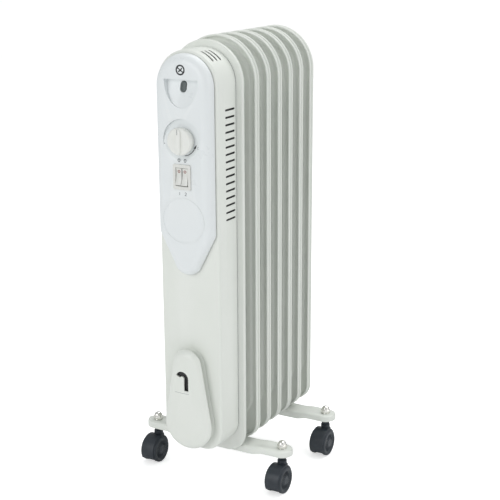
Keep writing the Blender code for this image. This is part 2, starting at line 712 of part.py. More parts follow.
def build_thermostat():
    knob = add_object("thermostat_knob", turned_mesh("thermostat_knob", [
        (0, KNOB_DEPTH), (KNOB_R - 2.2 * MM, KNOB_DEPTH), (KNOB_R - 0.6 * MM, KNOB_DEPTH - 1.0 * MM),
        (KNOB_R, KNOB_DEPTH - 2.6 * MM), (KNOB_R, 0), (0, 0)], (0, 0, 0), axis="Y", steps=2 * ROUND_STEPS),
        KNOB_WHITE)
    grip = add_object("grip", box_mesh("grip", (KNOB_GRIP_WIDTH, 2 * KNOB_GRIP, 2 * KNOB_R - 5 * MM),
                                       (0, -KNOB_DEPTH, 0), edge=0.8 * MM), cutter=True)
    bore = add_object("bore", cylinder_mesh("bore", SHAFT_R + GAP, 2 * (KNOB_DEPTH - 1.6 * MM), (0, 0, 0)),
                      cutter=True)
    boolean(knob, grip, "UNION")
    boolean(knob, bore)
    knob = settle(knob)
    knob.location = (0, KNOB_BACK_Y, KNOB_Z)
    for obj in (grip, bore):
        bpy.data.objects.remove(obj, do_unlink=True)
    width, depth, height = THERMOSTAT_SIZE
    body_front = BOX_Y + SHEET + GAP
    body = add_object("thermostat_body", box_mesh("thermostat_body", (width, depth, height),
                                                  (0, body_front + depth / 2, KNOB_Z), edge=1 * MM), BLACK)
    bush_front = DISH_Y + GAP
    bushing = add_object("bushing", cylinder_mesh(
        "bushing", BUSHING_R, body_front + depth / 2 - bush_front,
        (0, (body_front + depth / 2 + bush_front) / 2, KNOB_Z)), cutter=True)
    shaft_front = KNOB_FACE_Y + 1.6 * MM + GAP
    shaft_back = body_front + depth - 5 * MM
    bore = add_object("bore", cylinder_mesh("bore", SHAFT_R + GAP, shaft_back + GAP - bush_front + 4 * MM,
                                            (0, (shaft_back + GAP + bush_front - 4 * MM) / 2, KNOB_Z)),
                      cutter=True)
    boolean(body, bushing, "UNION")
    boolean(body, bore)
    settle(body)
    for obj in (bushing, bore):
        bpy.data.objects.remove(obj, do_unlink=True)
    length = shaft_back - shaft_front
    shaft = add_object("thermostat_shaft", cylinder_mesh(
        "thermostat_shaft", SHAFT_R, length, (0, shaft_front + length / 2 - KNOB_BACK_Y, 0)), BRASS)
    shaft.location = (0, KNOB_BACK_Y, KNOB_Z)


def rocker_pivot_y():
    return PANEL_FACE_Y + 1.0 * MM


def build_switch():
    bezel_y = PANEL_FACE_Y - GAP
    body_depth = SWITCH_BACK
    bezel_middle = bezel_y - BEZEL_THICK / 2
    housing = add_object("switch_housing", box_mesh(
        "switch_housing", (BEZEL_SIZE[0], BEZEL_THICK, BEZEL_SIZE[1]), (0, bezel_middle, SWITCH_Z),
        edge=0.6 * MM), PLASTIC_WHITE)
    body = add_object("body", box_mesh("body", (SWITCH_BODY[0], body_depth, SWITCH_BODY[1]),
                                       (0, bezel_middle + body_depth / 2, SWITCH_Z)), cutter=True)
    opening = (2 * ROCKER_SIZE[0] + 3 * RUN_GAP, 2 * POCKET_DEPTH, ROCKER_SIZE[1] + 2 * RUN_GAP)
    pocket = add_object("pocket", box_mesh("pocket", opening, (0, bezel_y - BEZEL_THICK, SWITCH_Z)),
                        cutter=True)
    boolean(housing, body, "UNION")
    boolean(housing, pocket)
    settle(housing)
    for obj in (body, pocket):
        bpy.data.objects.remove(obj, do_unlink=True)
    width, height = ROCKER_SIZE
    reach = BEZEL_THICK + 1.2 * MM + rocker_pivot_y() - bezel_y
    for side, name in ((-1, "rocker_left"), (1, "rocker_right")):
        pivot = bpy.data.objects.new(f"{name} pivot", None)
        HEATER.objects.link(pivot)
        pivot.location = (side * (width + RUN_GAP) / 2, rocker_pivot_y(), SWITCH_Z)
        pivot.rotation_euler.x = math.radians(-ROCKER_TILT)
        outline = [(-reach, -height / 2 + 0.6 * MM), (-reach + ROCKER_DISH, 0),
                   (-reach, height / 2 - 0.6 * MM), (0, height / 2 - 1.2 * MM),
                   (ROCKER_DEPTH / 2, height / 4), (ROCKER_DEPTH / 2, -height / 4),
                   (0, -height / 2 + 1.2 * MM)]
        data = prism_mesh(name, [(y, z) for y, z in reversed(outline)], -width / 2, width / 2)
        data.transform(Matrix.Rotation(math.radians(90), 4, "Z").inverted())
        data.transform(Matrix.Rotation(math.radians(180), 4, "Z"))
        rocker = add_object(name, data, ROCKER_WHITE)
        rocker.parent = pivot


# ---- Cord store ---------------------------------------------------------------------------------

def build_cord_store():
    back = BOX_Y - GAP
    cover_back = BOX_Y - STORE_REACH + STORE_COVER_DEPTH
    neck_front = cover_back + GAP
    front, flange, slope = 0.5 * MM, NECK_FLANGE, NECK_SLOPE
    neck = add_object("cord_store_neck", loft_mesh("cord_store_neck", [
        (store_outline(front), neck_front), (store_outline(front), neck_front + flange),
        (store_outline(NECK_INSET), neck_front + flange + slope),
        (store_outline(NECK_INSET), back - flange - slope),
        (store_outline(2 * MM), back - flange), (store_outline(2 * MM), back)],
        cap_front=True, cap_back=True), STEEL_WHITE)
    inside = store_outline(NECK_INSET + NECK_WALL)
    hollow = add_object("hollow", prism_mesh("hollow", inside, neck_front + NECK_WALL, back + NECK_WALL),
                        cutter=True)
    boolean(neck, hollow)
    settle(neck)
    bpy.data.objects.remove(hollow, do_unlink=True)
    depth = STORE_COVER_DEPTH
    cover = add_object("cord_store_cover", loft_mesh("cord_store_cover", [
        (store_outline(14 * MM), cover_back - depth), (store_outline(8 * MM), cover_back - 0.93 * depth),
        (store_outline(3.2 * MM), cover_back - 0.70 * depth),
        (store_outline(0.8 * MM), cover_back - 0.40 * depth),
        (store_outline(0.0), cover_back - 0.2 * depth), (store_outline(0.0), cover_back)],
        cap_front=True), PLASTIC_WHITE)
    solidify(cover, STORE_COVER_WALL)
    half = HOOK_SLOT / 2
    arc = [(HOOK_X + (HOOK_BEND_R + half) * math.cos(math.radians(15 * i)),
            HOOK_Z + (HOOK_BEND_R + half) * math.sin(math.radians(15 * i))) for i in range(12)]
    inner = [(HOOK_X + (HOOK_BEND_R - half) * math.cos(math.radians(15 * i)),
              HOOK_Z + (HOOK_BEND_R - half) * math.sin(math.radians(15 * i))) for i in range(12)]
    leg = HOOK_X + HOOK_BEND_R
    outline = [(leg - half, HOOK_Z - HOOK_LEG), (leg + half, HOOK_Z - HOOK_LEG)]
    outline += arc + inner[::-1]
    slot = add_object("hook slot", prism_mesh("hook slot", outline, cover_back - 2 * depth, cover_back),
                      cutter=True)
    boolean(cover, slot)
    settle(cover)
    bpy.data.objects.remove(slot, do_unlink=True)


# ---- Small parts inside the box -----------------------------------------------------------------

def build_small_parts():
    face = fin_y(0) + FIRST_FIN_BACK - CHANNEL_DEPTH / 2 - GAP
    add_object("thermal_cutout", cylinder_mesh("thermal_cutout", CUTOUT_R, CUTOUT_DEPTH,
                                               (0, face - CUTOUT_DEPTH / 2, CUTOUT_Z)), BLACK)
    block_y = BOX_Y + SHEET + GAP + BLOCK_SIZE[1] / 2
    add_object("terminal_block", box_mesh("terminal_block", BLOCK_SIZE, (0, block_y, BLOCK_Z), edge=1 * MM),
               PLASTIC_WHITE)
    bottom = BOX_BOTTOM - GAP
    gland = add_object("cord_gland", turned_mesh("cord_gland", [
        (0, GLAND_LENGTH), (GLAND_R, GLAND_LENGTH), (GLAND_R, 0), (GLAND_FLANGE_R, 0),
        (GLAND_FLANGE_R - 1 * MM, -GLAND_FLANGE), (0, -GLAND_FLANGE)], (0, gland_y(), bottom)), BLACK)
    bore = add_object("bore", cylinder_mesh("bore", GLAND_BORE, 4 * GLAND_LENGTH, (0, gland_y(), bottom),
                                            axis="Z"), cutter=True)
    boolean(gland, bore)
    settle(gland)
    bpy.data.objects.remove(bore, do_unlink=True)


def build_leads():
    """Three leads from the terminal block: to the switch, to the thermostat and to the heating element."""
    block_back = BOX_Y + SHEET + 2 * GAP + BLOCK_SIZE[1]
    switch_back = PANEL_FACE_Y - GAP - BEZEL_THICK / 2 + SWITCH_BACK + GAP
    thermostat_back = BOX_Y + SHEET + 2 * GAP + THERMOSTAT_SIZE[1]
    element_front = fin_y(0) + FIRST_FIN_BACK - FRONT_STUB - 2 * GAP - PLUG_HEAD - TERMINAL_LENGTH
    slack = 5 * MM
    top, low = BLOCK_Z + BLOCK_SIZE[2] / 4, BLOCK_Z - BLOCK_SIZE[2] / 4
    routes = {
        "lead_switch": [(-7 * MM, block_back, top), (-7 * MM, block_back + 1 * MM, top),
                        (-9 * MM, block_back + slack, top + 8 * MM),
                        (-10 * MM, block_back + slack, (top + SWITCH_Z) / 2),
                        (-7 * MM, switch_back + slack, SWITCH_Z - 16 * MM),
                        (-6 * MM, switch_back + 1 * MM, SWITCH_Z - 6 * MM),
                        (-6 * MM, switch_back, SWITCH_Z - 6 * MM)],
        "lead_thermostat": [(2 * MM, block_back, top), (2 * MM, block_back + 1 * MM, top),
                            (6 * MM, block_back + slack, top + 8 * MM),
                            (20 * MM, block_back + slack, (top + SWITCH_Z) / 2),
                            (18 * MM, thermostat_back + slack, KNOB_Z - 24 * MM),
                            (9 * MM, thermostat_back + 1 * MM, KNOB_Z - 6 * MM),
                            (9 * MM, thermostat_back, KNOB_Z - 6 * MM)],
        "lead_element": [(11 * MM, block_back, low), (11 * MM, block_back + 1 * MM, low),
                         (14 * MM, block_back + slack, low - 9 * MM),
                         (14 * MM, block_back + slack, (BLOCK_Z + HEADER_LOW_Z) / 2),
                         (ELEMENT_SPREAD + 2 * MM, element_front - 6 * MM, HEADER_LOW_Z + 12 * MM),
                         (ELEMENT_SPREAD, element_front - 1 * MM, HEADER_LOW_Z),
                         (ELEMENT_SPREAD, element_front, HEADER_LOW_Z)],
    }
    for name, points in routes.items():
        add_object(name, tube_mesh(name, smooth_route(points), LEAD_R, resolution=1), BLACK)


# ---- Feet ---------------------------------------------------------------------------------------

def foot_section(across):
    """Half width, top and skirt's edge of a foot, `across` from the middle of the heater."""
    end = FOOT_HALF - FOOT_WIDTH / 2
    out = abs(across)
    half = math.sqrt(max(FOOT_WIDTH ** 2 / 4 - max(out - end, 0.0) ** 2, 0.01 * FOOT_WIDTH ** 2))
    share = min(max((out - FOOT_RISE_FROM) / (FOOT_RISE_TO - FOOT_RISE_FROM), 0.0), 1.0)
    top = FOOT_TOP + FOOT_RISE * share * share * (3 - 2 * share)
    return half, top, top - FOOT_SKIRT + (FOOT_SKIRT - FOOT_END_SKIRT) * share


def foot_mesh(name):
    """A pressed channel, open below, about y = 0."""
    end = FOOT_HALF - FOOT_WIDTH / 2
    outs = [0.0, FOOT_RISE_FROM, (FOOT_RISE_FROM + FOOT_RISE_TO) / 2, FOOT_RISE_TO, end]
    outs += [end + FOOT_WIDTH / 2 * math.sin(math.radians(18 * i)) for i in range(1, 6)]
    stations = [-out for out in reversed(outs)] + outs[1:]
    bm = bmesh.new()
    rows = []
    for x in stations:
        half, top, low = foot_section(x)
        edge = min(FOOT_EDGE, 0.8 * half)
        profile = [(-half, low), (-half, top - edge), (-half + edge, top),
                   (half - edge, top), (half, top - edge), (half, low)]
        rows.append([bm.verts.new((x, y, z)) for y, z in profile])
    for near, far in zip(rows, rows[1:]):
        for i in range(5):
            bm.faces.new((near[i], far[i], far[i + 1], near[i + 1]))
    bm.faces.new(rows[0])
    bm.faces.new(rows[-1][::-1])
    data = bpy.data.meshes.new(name)
    bm.to_mesh(data)
    bm.free()
    data.shade_smooth()
    data.set_sharp_from_angle(angle=math.radians(35))
    return data


def hook_bolt_x():
    return HEADER_R + 2 * GAP + HOOK_BOLT_R


def build_feet():
    for name, y in FOOT_Y.items():
        foot = add_object(f"foot_{name}", foot_mesh(f"foot_{name}"), STEEL_WHITE)
        solidify(foot, FOOT_SHEET)
        foot.location.y = y
        holes = []
        for side in (-1, 1):
            hole = cylinder_mesh("stud hole", STUD_R + GAP, 30 * MM,
                                 (side * STUD_X, y, FOOT_END_TOP), axis="Z")
            holes.append(add_object("stud hole", hole, cutter=True))
        hook_y = y - FOOT_WIDTH / 2 + FOOT_SHEET + FOOT_SPACE + WING_NUT_R
        hole = cylinder_mesh("hook hole", HOOK_BOLT_R + GAP, 30 * MM,
                             (hook_bolt_x(), hook_y, FOOT_TOP), axis="Z")
        holes.append(add_object("hook hole", hole, cutter=True))
        for hole in holes:
            boolean(foot, hole)
        settle(foot)
        for obj in holes:
            bpy.data.objects.remove(obj, do_unlink=True)
        build_hook_bolt(name, hook_y)


def build_hook_bolt(name, y):
    """A bolt that hooks over the lower header between two fins and pulls the foot up to them."""
    radius = hook_bolt_x()
    low = FOOT_TOP - FOOT_SHEET - WING_NUT_HEIGHT - 2 * MM
    points = [Vector((radius, y, low)), Vector((radius, y, HEADER_LOW_Z))]
    points += arc_points((0, y, HEADER_LOW_Z), radius, 0, 200, 12, (1, 0, 0), (0, 0, 1))[1:]
    add_object(f"hook_bolt_{name}", tube_mesh(f"hook_bolt_{name}", points, HOOK_BOLT_R), ZINC)
    top = FOOT_TOP - FOOT_SHEET - GAP
    nut = add_object(f"wing_nut_{name}", cylinder_mesh(
        "wing nut", WING_NUT_R, WING_NUT_HEIGHT, (radius, y, top - WING_NUT_HEIGHT / 2), axis="Z",
        tip_radius=WING_NUT_R - 1 * MM), ZINC)
    wings = add_object("wings", box_mesh(
        "wings", (2 * WING_SPAN, WING_THICK, WING_NUT_HEIGHT),
        (radius, y, top - WING_NUT_HEIGHT / 2 - 1 * MM), edge=0.5 * MM), cutter=True)
    bore = add_object("bore", cylinder_mesh("bore", HOOK_BOLT_R + GAP, 40 * MM, (radius, y, top), axis="Z"),
                      cutter=True)
    boolean(nut, wings, "UNION")
    boolean(nut, bore)
    settle(nut)
    for obj in (wings, bore):
        bpy.data.objects.remove(obj, do_unlink=True)


# ---- Castors ------------------------------------------------------------------------------------

def hood_mesh():
    """The hood about its stem's axis: a web between the wheels, a cover over them and the stem's boss."""
    centre = (0, -CASTOR_TRAIL, WHEEL_Z)
    width = CASTOR_WEB + 2 * (WHEEL_WIDTH + GAP)
    hood = add_object("hood", cylinder_mesh("hood", HOOD_R, width, centre, axis="X", steps=28))
    boss_low = HOOD_REAR_LOW + GAP
    boss = add_object("boss", cylinder_mesh(
        "boss", BOSS_R, BOSS_TOP - boss_low, (0, 0, (BOSS_TOP + boss_low) / 2), axis="Z", steps=16),
        cutter=True)
    boolean(hood, boss, "UNION")
    cutters = [boss]
    for side in (-1, 1):
        space_x = side * (CASTOR_WEB / 2 + width / 2)
        space = cylinder_mesh("wheel space", WHEEL_R + HOOD_CLEAR, width,
                              (space_x, -CASTOR_TRAIL, WHEEL_Z), axis="X", steps=28)
        cutters.append(add_object("wheel space", space, cutter=True))
    far = 60 * MM
    cutters.append(add_object("open below", box_mesh("open below", (far, 2 * far, far),
                                                     (0, 0, HOOD_LOW - far / 2)), cutter=True))
    cutters.append(add_object("open behind", box_mesh("open behind", (far, far, far), (
        0, -CASTOR_TRAIL + WHEEL_R * 0.35 + far / 2, HOOD_REAR_LOW - far / 2)), cutter=True))
    cutters.append(add_object("axle bore", cylinder_mesh("axle bore", AXLE_R + GAP, far, centre, axis="X",
                                                         steps=12), cutter=True))
    cutters.append(add_object("stem bore", cylinder_mesh("stem bore", STUD_R + RUN_GAP, far, (
        0, 0, stud_low() - GAP + far / 2), axis="Z", steps=16), cutter=True))
    for cutter in cutters[1:]:
        boolean(hood, cutter)
    data = settled_mesh(hood, "castor hood")
    for obj in [hood] + cutters:
        bpy.data.objects.remove(obj, do_unlink=True)
    return data


def stud_low():
    """The stud's foot, which is clear of the hood's opening behind the wheels."""
    return HOOD_REAR_LOW + STUD_SEAT


def castor_meshes():
    low = stud_low()
    collar_low, collar_top = BOSS_TOP + GAP, FOOT_END_TOP - FOOT_SHEET - GAP
    nut_low = FOOT_END_TOP + GAP
    stud_top = nut_low + NUT_HEX
    half = WHEEL_WIDTH / 2
    hub_r = 8.0 * MM
    dome_r = NUT_ACROSS / 2 * 0.9
    stud = [(0, stud_top), (STUD_R, stud_top), (STUD_R, collar_top), (COLLAR_R, collar_top),
            (COLLAR_R, collar_low), (STUD_R, collar_low), (STUD_R, low), (0, low)]
    wheel = [(AXLE_R + GAP, half), (hub_r, half), (hub_r + 1.5 * MM, half - 1.0 * MM),
             (WHEEL_R - 4 * MM, half - 1.0 * MM), (WHEEL_R - 2.5 * MM, half), (WHEEL_R, half - 1.6 * MM),
             (WHEEL_R, -half + 0.8 * MM), (WHEEL_R - 0.8 * MM, -half), (AXLE_R + GAP, -half)]
    nut = add_object("nut", cylinder_mesh(
        "nut", NUT_ACROSS / 2, NUT_HEX, (0, 0, nut_low + NUT_HEX / 2), axis="Z", steps=6))
    dome = add_object("dome", turned_mesh("dome", [
        (0, nut_low + NUT_HEX + NUT_DOME), (dome_r * 0.55, nut_low + NUT_HEX + NUT_DOME * 0.84),
        (dome_r * 0.88, nut_low + NUT_HEX + NUT_DOME * 0.48), (dome_r, nut_low + NUT_HEX),
        (dome_r, nut_low + NUT_HEX / 2), (0, nut_low + NUT_HEX / 2)], (0, 0, 0), steps=12), cutter=True)
    bore = add_object("bore", cylinder_mesh(
        "bore", STUD_R + GAP, 2 * (NUT_HEX + GAP), (0, 0, nut_low), axis="Z", steps=12), cutter=True)
    boolean(nut, dome, "UNION")
    boolean(nut, bore)
    nut_data = settled_mesh(nut, "cap nut")
    for obj in (nut, dome, bore):
        bpy.data.objects.remove(obj, do_unlink=True)
    axle_length = CASTOR_WEB + 2 * (WHEEL_WIDTH + GAP) - 1 * MM
    return {"hood": hood_mesh(), "stud": turned_mesh("castor stud", stud, (0, 0, 0), steps=16),
            "nut": nut_data, "wheel": ring_mesh("castor wheel", wheel),
            "axle": cylinder_mesh("castor axle", AXLE_R, axle_length, (0, 0, 0), axis="X", steps=12)}


def ring_mesh(name, profile):
    """A turned ring with an open bore about the X axis; its high side is its outer face."""
    data = bpy.data.meshes.new(name)
    count = len(profile)
    data.from_pydata([(radius, 0.0, height) for radius, height in profile], [
        (i, (i + 1) % count) for i in range(count)], [])
    guide = add_object(f"{name} guide", data, cutter=True)
    screw = guide.modifiers.new("turn", "SCREW")
    screw.steps = ROUND_STEPS
    screw.render_steps = ROUND_STEPS
    screw.use_merge_vertices = True
    screw.merge_threshold = 0.00001
    guide.rotation_euler = (0.0, math.radians(90), 0.0)
    turned = settled_mesh(guide, name)
    bpy.data.objects.remove(guide, do_unlink=True)
    return turned


def build_castors():
    meshes = castor_meshes()
    wheel_x = CASTOR_WEB / 2 + GAP + WHEEL_WIDTH / 2
    for row, y in FOOT_Y.items():
        for word, side in (("left", -1), ("right", 1)):
            name = f"{row}_{word}"
            stem = bpy.data.objects.new(f"castor {name}", None)
            HEATER.objects.link(stem)
            stem.location = (side * STUD_X, y, 0)
            stud = add_object(f"castor_stud_{name}", meshes["stud"], ZINC)
            nut = add_object(f"cap_nut_{name}", meshes["nut"], CHROME)
            for fixed in (stud, nut):
                fixed.location = (side * STUD_X, y, 0)
            hood = add_object(f"castor_hood_{name}", meshes["hood"], CASTOR_BLACK)
            hood.parent = stem
            axle = add_object(f"castor_axle_{name}", meshes["axle"], ZINC)
            axle.parent = stem
            axle.location = (0, -CASTOR_TRAIL, WHEEL_Z)
            for letter, hand in (("a", -1), ("b", 1)):
                wheel = add_object(f"wheel_{name}_{letter}", meshes["wheel"], CASTOR_BLACK)
                wheel.parent = stem
                wheel.location = (hand * wheel_x, -CASTOR_TRAIL, WHEEL_Z)
                wheel.rotation_euler.z = 0.0 if hand > 0 else math.pi


# ---- Build --------------------------------------------------------------------------------------

clear_scene()
HEATER = new_collection("oil filled radiator heater")
CUTTERS = new_collection("cutters", hidden=True)
STEEL_WHITE = material("painted steel", (0.74, 0.76, 0.71), 0.38)
PLASTIC_WHITE = material("white plastic", (0.79, 0.82, 0.83), 0.28)
KNOB_WHITE = material("knob plastic", (0.78, 0.80, 0.77), 0.32)
ROCKER_WHITE = material("rocker plastic", (0.76, 0.77, 0.72), 0.30)
SMOKED = material("smoked lens", (0.07, 0.08, 0.08), 0.12)
CASTOR_BLACK = material("castor nylon", (0.025, 0.030, 0.036), 0.42)
BLACK = material("black plastic", (0.02, 0.02, 0.02), 0.5)
CHROME = material("chrome", (0.80, 0.79, 0.74), 0.12, 1.0)
ZINC = material("zinc plate", (0.62, 0.62, 0.60), 0.35, 1.0)
BRASS = material("brass", (0.70, 0.55, 0.28), 0.35, 1.0)
COPPER = material("copper sheath", (0.72, 0.40, 0.26), 0.4, 1.0)

build_fins()
build_header_plugs()
build_element()
build_control_box()
build_control_panel()
build_pilot_lens()
build_thermostat()
build_switch()
build_cord_store()
build_small_parts()
build_leads()
build_feet()
build_castors()
bpy.data.collections.remove(CUTTERS)
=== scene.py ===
"""The looks of the oil filled radiator heater: painted fins, control box, panel, cord store and castors.

Metres, +Z up, the control panel faces -Y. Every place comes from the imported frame's boxes and joints.
"""

import json
import math

import bmesh
import bpy
from mathutils import Matrix, Vector


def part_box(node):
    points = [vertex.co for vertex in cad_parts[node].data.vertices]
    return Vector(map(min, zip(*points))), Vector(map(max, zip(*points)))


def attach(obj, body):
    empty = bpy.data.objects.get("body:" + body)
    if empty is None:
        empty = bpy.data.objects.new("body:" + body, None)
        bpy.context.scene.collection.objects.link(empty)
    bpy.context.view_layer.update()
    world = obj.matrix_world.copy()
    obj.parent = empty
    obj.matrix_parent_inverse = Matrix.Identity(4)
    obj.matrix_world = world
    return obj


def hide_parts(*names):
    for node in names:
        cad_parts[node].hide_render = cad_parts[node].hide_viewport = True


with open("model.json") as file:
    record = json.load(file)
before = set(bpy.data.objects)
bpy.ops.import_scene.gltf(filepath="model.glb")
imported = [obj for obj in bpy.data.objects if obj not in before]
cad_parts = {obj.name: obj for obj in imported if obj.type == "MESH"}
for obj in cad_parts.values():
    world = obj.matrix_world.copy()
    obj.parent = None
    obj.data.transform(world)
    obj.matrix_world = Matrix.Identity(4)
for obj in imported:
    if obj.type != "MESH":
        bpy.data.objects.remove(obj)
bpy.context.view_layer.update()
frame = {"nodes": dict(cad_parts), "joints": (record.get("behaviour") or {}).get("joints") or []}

MM = 0.001
JOINTS = {joint["name"]: joint for joint in frame["joints"]}
BOX_LOW, BOX_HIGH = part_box("control_box")
PANEL_LOW, PANEL_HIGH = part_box("control_panel")
FIN_LOW, FIN_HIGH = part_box("fin_2")
ARCH_Z = FIN_HIGH.z - FIN_HIGH.x
BOX_BOTTOM = 66 * MM
BOX_CORNER = 30 * MM
SLOT_TOP_Z = 531 * MM
SLOT_STEP = 9.53 * MM
SHOULDER_Z = 374 * MM
PANEL_ROUND = 13.5 * MM


# ---- Materials ----------------------------------------------------------------------------------

class Finish:
    """A Principled material whose colour, roughness and bump come from procedural nodes."""

    def __init__(self, name, colour, roughness, metallic=0.0, ior=1.46, coat=0.0):
        self.material = bpy.data.materials.new(name)
        self.material.use_nodes = True
        self.nodes = self.material.node_tree.nodes
        self.links = self.material.node_tree.links
        self.shader = self.nodes["Principled BSDF"]
        self.place = self.nodes.new("ShaderNodeTexCoord").outputs["Object"]
        self.colour = None
        self.bumped = None
        self.set("Base Color", (*colour, 1.0))
        self.set("Roughness", roughness)
        self.set("Metallic", metallic)
        self.set("IOR", ior)
        self.set("Coat Weight", coat)

    def set(self, socket, value):
        self.shader.inputs[socket].default_value = value

    def noise(self, scale, detail=2.0, stretch=(1, 1, 1)):
        mapping = self.nodes.new("ShaderNodeMapping")
        mapping.inputs["Scale"].default_value = stretch
        self.links.new(self.place, mapping.inputs["Vector"])
        texture = self.nodes.new("ShaderNodeTexNoise")
        texture.inputs["Scale"].default_value = scale
        texture.inputs["Detail"].default_value = detail
        self.links.new(mapping.outputs[0], texture.inputs["Vector"])
        return texture.outputs["Fac"]

    def ramp(self, factor, low, high, start=0.3, end=0.7):
        made = self.nodes.new("ShaderNodeMapRange")
        made.inputs["From Min"].default_value = start
        made.inputs["From Max"].default_value = end
        made.inputs["To Min"].default_value = low
        made.inputs["To Max"].default_value = high
        self.links.new(factor, made.inputs["Value"])
        return made.outputs["Result"]

    def mottle(self, scale, dark, light, stretch=(1, 1, 1)):
        """Slow colour change between two near tones."""
        mix = self.nodes.new("ShaderNodeMix")
        mix.data_type = "RGBA"
        mix.inputs[6].default_value = (*dark, 1.0)
        mix.inputs[7].default_value = (*light, 1.0)
        self.links.new(self.ramp(self.noise(scale, 3.0, stretch), 0.0, 1.0), mix.inputs[0])
        self.colour = mix
        self.links.new(mix.outputs[2], self.shader.inputs["Base Color"])
        return self

    def edge_highlight_and_wear(self, tone, amount):
        """A lighter or duller tone where the surface turns sharply: painted highlight on the pale paint and
        plastics, scuffs and dust on the dark nylon and tyres.
        """
        geometry = self.nodes.new("ShaderNodeNewGeometry")
        mix = self.nodes.new("ShaderNodeMix")
        mix.data_type = "RGBA"
        mix.inputs[7].default_value = (*tone, 1.0)
        self.links.new(self.colour.outputs[2], mix.inputs[6])
        self.links.new(self.ramp(geometry.outputs["Pointiness"], 0.0, amount, 0.52, 0.62), mix.inputs[0])
        self.links.new(mix.outputs[2], self.shader.inputs["Base Color"])
        return self

    def gloss_change(self, scale, low, high, stretch=(1, 1, 1)):
        self.links.new(self.ramp(self.noise(scale, 3.0, stretch), low, high), self.shader.inputs["Roughness"])
        return self

    def bump(self, scale, distance, strength=0.3, detail=2.0, stretch=(1, 1, 1)):
        made = self.nodes.new("ShaderNodeBump")
        made.inputs["Strength"].default_value = strength
        made.inputs["Distance"].default_value = distance
        self.links.new(self.noise(scale, detail, stretch), made.inputs["Height"])
        if self.bumped:
            self.links.new(self.bumped, made.inputs["Normal"])
        self.bumped = made.outputs["Normal"]
        self.links.new(self.bumped, self.shader.inputs["Normal"])
        return self


def powder_coat():
    """Semi-gloss off-white powder coat: an orange peel of about a millimetre and a finer grain."""
    finish = Finish("powder coat", (0.79, 0.815, 0.765), 0.34, coat=0.15)
    # The lighter edge tone is painted highlight along the coat's edges.
    finish.mottle(14.0, (0.780, 0.808, 0.756), (0.804, 0.828, 0.780)).edge_highlight_and_wear((0.83, 0.85, 0.81), 0.5)
    finish.gloss_change(90.0, 0.30, 0.40).bump(700.0, 0.00004, 0.35).bump(2600.0, 0.000012, 0.3)
    return finish.material


def panel_plastic():
    """Cool white moulded plastic with a smooth, slightly wavy gloss."""
    finish = Finish("panel plastic", (0.80, 0.835, 0.84), 0.30, ior=1.48, coat=0.1)
    # The lighter edge tone is painted highlight along the panel's edges.
    finish.mottle(9.0, (0.797, 0.830, 0.836), (0.809, 0.841, 0.848)).edge_highlight_and_wear((0.85, 0.875, 0.875), 0.4)
    finish.gloss_change(45.0, 0.27, 0.33).bump(160.0, 0.00002, 0.12).bump(3000.0, 0.000006, 0.25)
    return finish.material


def knob_plastic():
    """Satin plastic with a fine spark-eroded grain."""
    finish = Finish("knob plastic", (0.82, 0.83, 0.79), 0.36, ior=1.5)
    # The lighter edge tone is painted highlight along the knob's edges.
    finish.mottle(60.0, (0.805, 0.815, 0.775), (0.83, 0.84, 0.805)).edge_highlight_and_wear((0.87, 0.87, 0.84), 0.5)
    finish.gloss_change(240.0, 0.32, 0.42).bump(3500.0, 0.00001, 0.35)
    return finish.material


def rocker_plastic():
    finish = Finish("rocker plastic", (0.74, 0.745, 0.71), 0.30, ior=1.5, coat=0.1)
    # The lighter edge tone is painted highlight along the rocker's edges.
    finish.mottle(120.0, (0.73, 0.735, 0.70), (0.755, 0.76, 0.725)).edge_highlight_and_wear((0.80, 0.80, 0.77), 0.5)
    finish.gloss_change(300.0, 0.24, 0.34).bump(2500.0, 0.000008, 0.25)
    return finish.material


def castor_nylon():
    """Dark slate nylon: moulding grain, scuffed along its edges."""
    finish = Finish("castor nylon", (0.020, 0.027, 0.036), 0.38, ior=1.5)
    finish.mottle(80.0, (0.016, 0.022, 0.030), (0.026, 0.034, 0.044)).edge_highlight_and_wear((0.075, 0.088, 0.102), 0.45)
    finish.gloss_change(140.0, 0.34, 0.52).bump(1500.0, 0.00003, 0.4).bump(320.0, 0.00004, 0.15)
    return finish.material


def tread_rubber():
    """The tyres: duller than the hubs, dusty where they roll."""
    finish = Finish("castor tread", (0.018, 0.022, 0.028), 0.6, ior=1.5)
    finish.mottle(220.0, (0.015, 0.019, 0.025), (0.032, 0.037, 0.043)).edge_highlight_and_wear((0.08, 0.085, 0.09), 0.5)
    finish.gloss_change(260.0, 0.50, 0.70).bump(2200.0, 0.00003, 0.5)
    return finish.material


def chrome():
    finish = Finish("chrome", (0.84, 0.83, 0.79), 0.14, metallic=1.0)
    finish.mottle(180.0, (0.78, 0.77, 0.72), (0.87, 0.86, 0.83))
    finish.gloss_change(400.0, 0.08, 0.20).bump(900.0, 0.00001, 0.2)
    return finish.material


def zinc():
    """Zinc plate with fine turning marks round each piece."""
    finish = Finish("zinc plate", (0.62, 0.62, 0.60), 0.34, metallic=1.0)
    finish.mottle(150.0, (0.50, 0.50, 0.49), (0.70, 0.70, 0.67))
    finish.gloss_change(200.0, 0.26, 0.46).bump(1800.0, 0.00002, 0.3, stretch=(0.2, 0.2, 3.0))
    return finish.material


def warm_metal(name, dark, light):
    finish = Finish(name, light, 0.36, metallic=1.0)
    finish.mottle(110.0, dark, light).gloss_change(240.0, 0.28, 0.5)
    finish.bump(1500.0, 0.00002, 0.3, stretch=(3.0, 0.2, 3.0))
    return finish.material


def inner_black():
    # Black plastic for the real black parts; the same material paints shade behind the box's slots, in the
    # panel's seam, between the rockers and behind the hook slot.
    finish = Finish("black plastic", (0.02, 0.02, 0.02), 0.5)
    finish.mottle(150.0, (0.014, 0.014, 0.015), (0.032, 0.032, 0.034))
    finish.gloss_change(200.0, 0.40, 0.62).bump(1800.0, 0.00002, 0.35)
    return finish.material


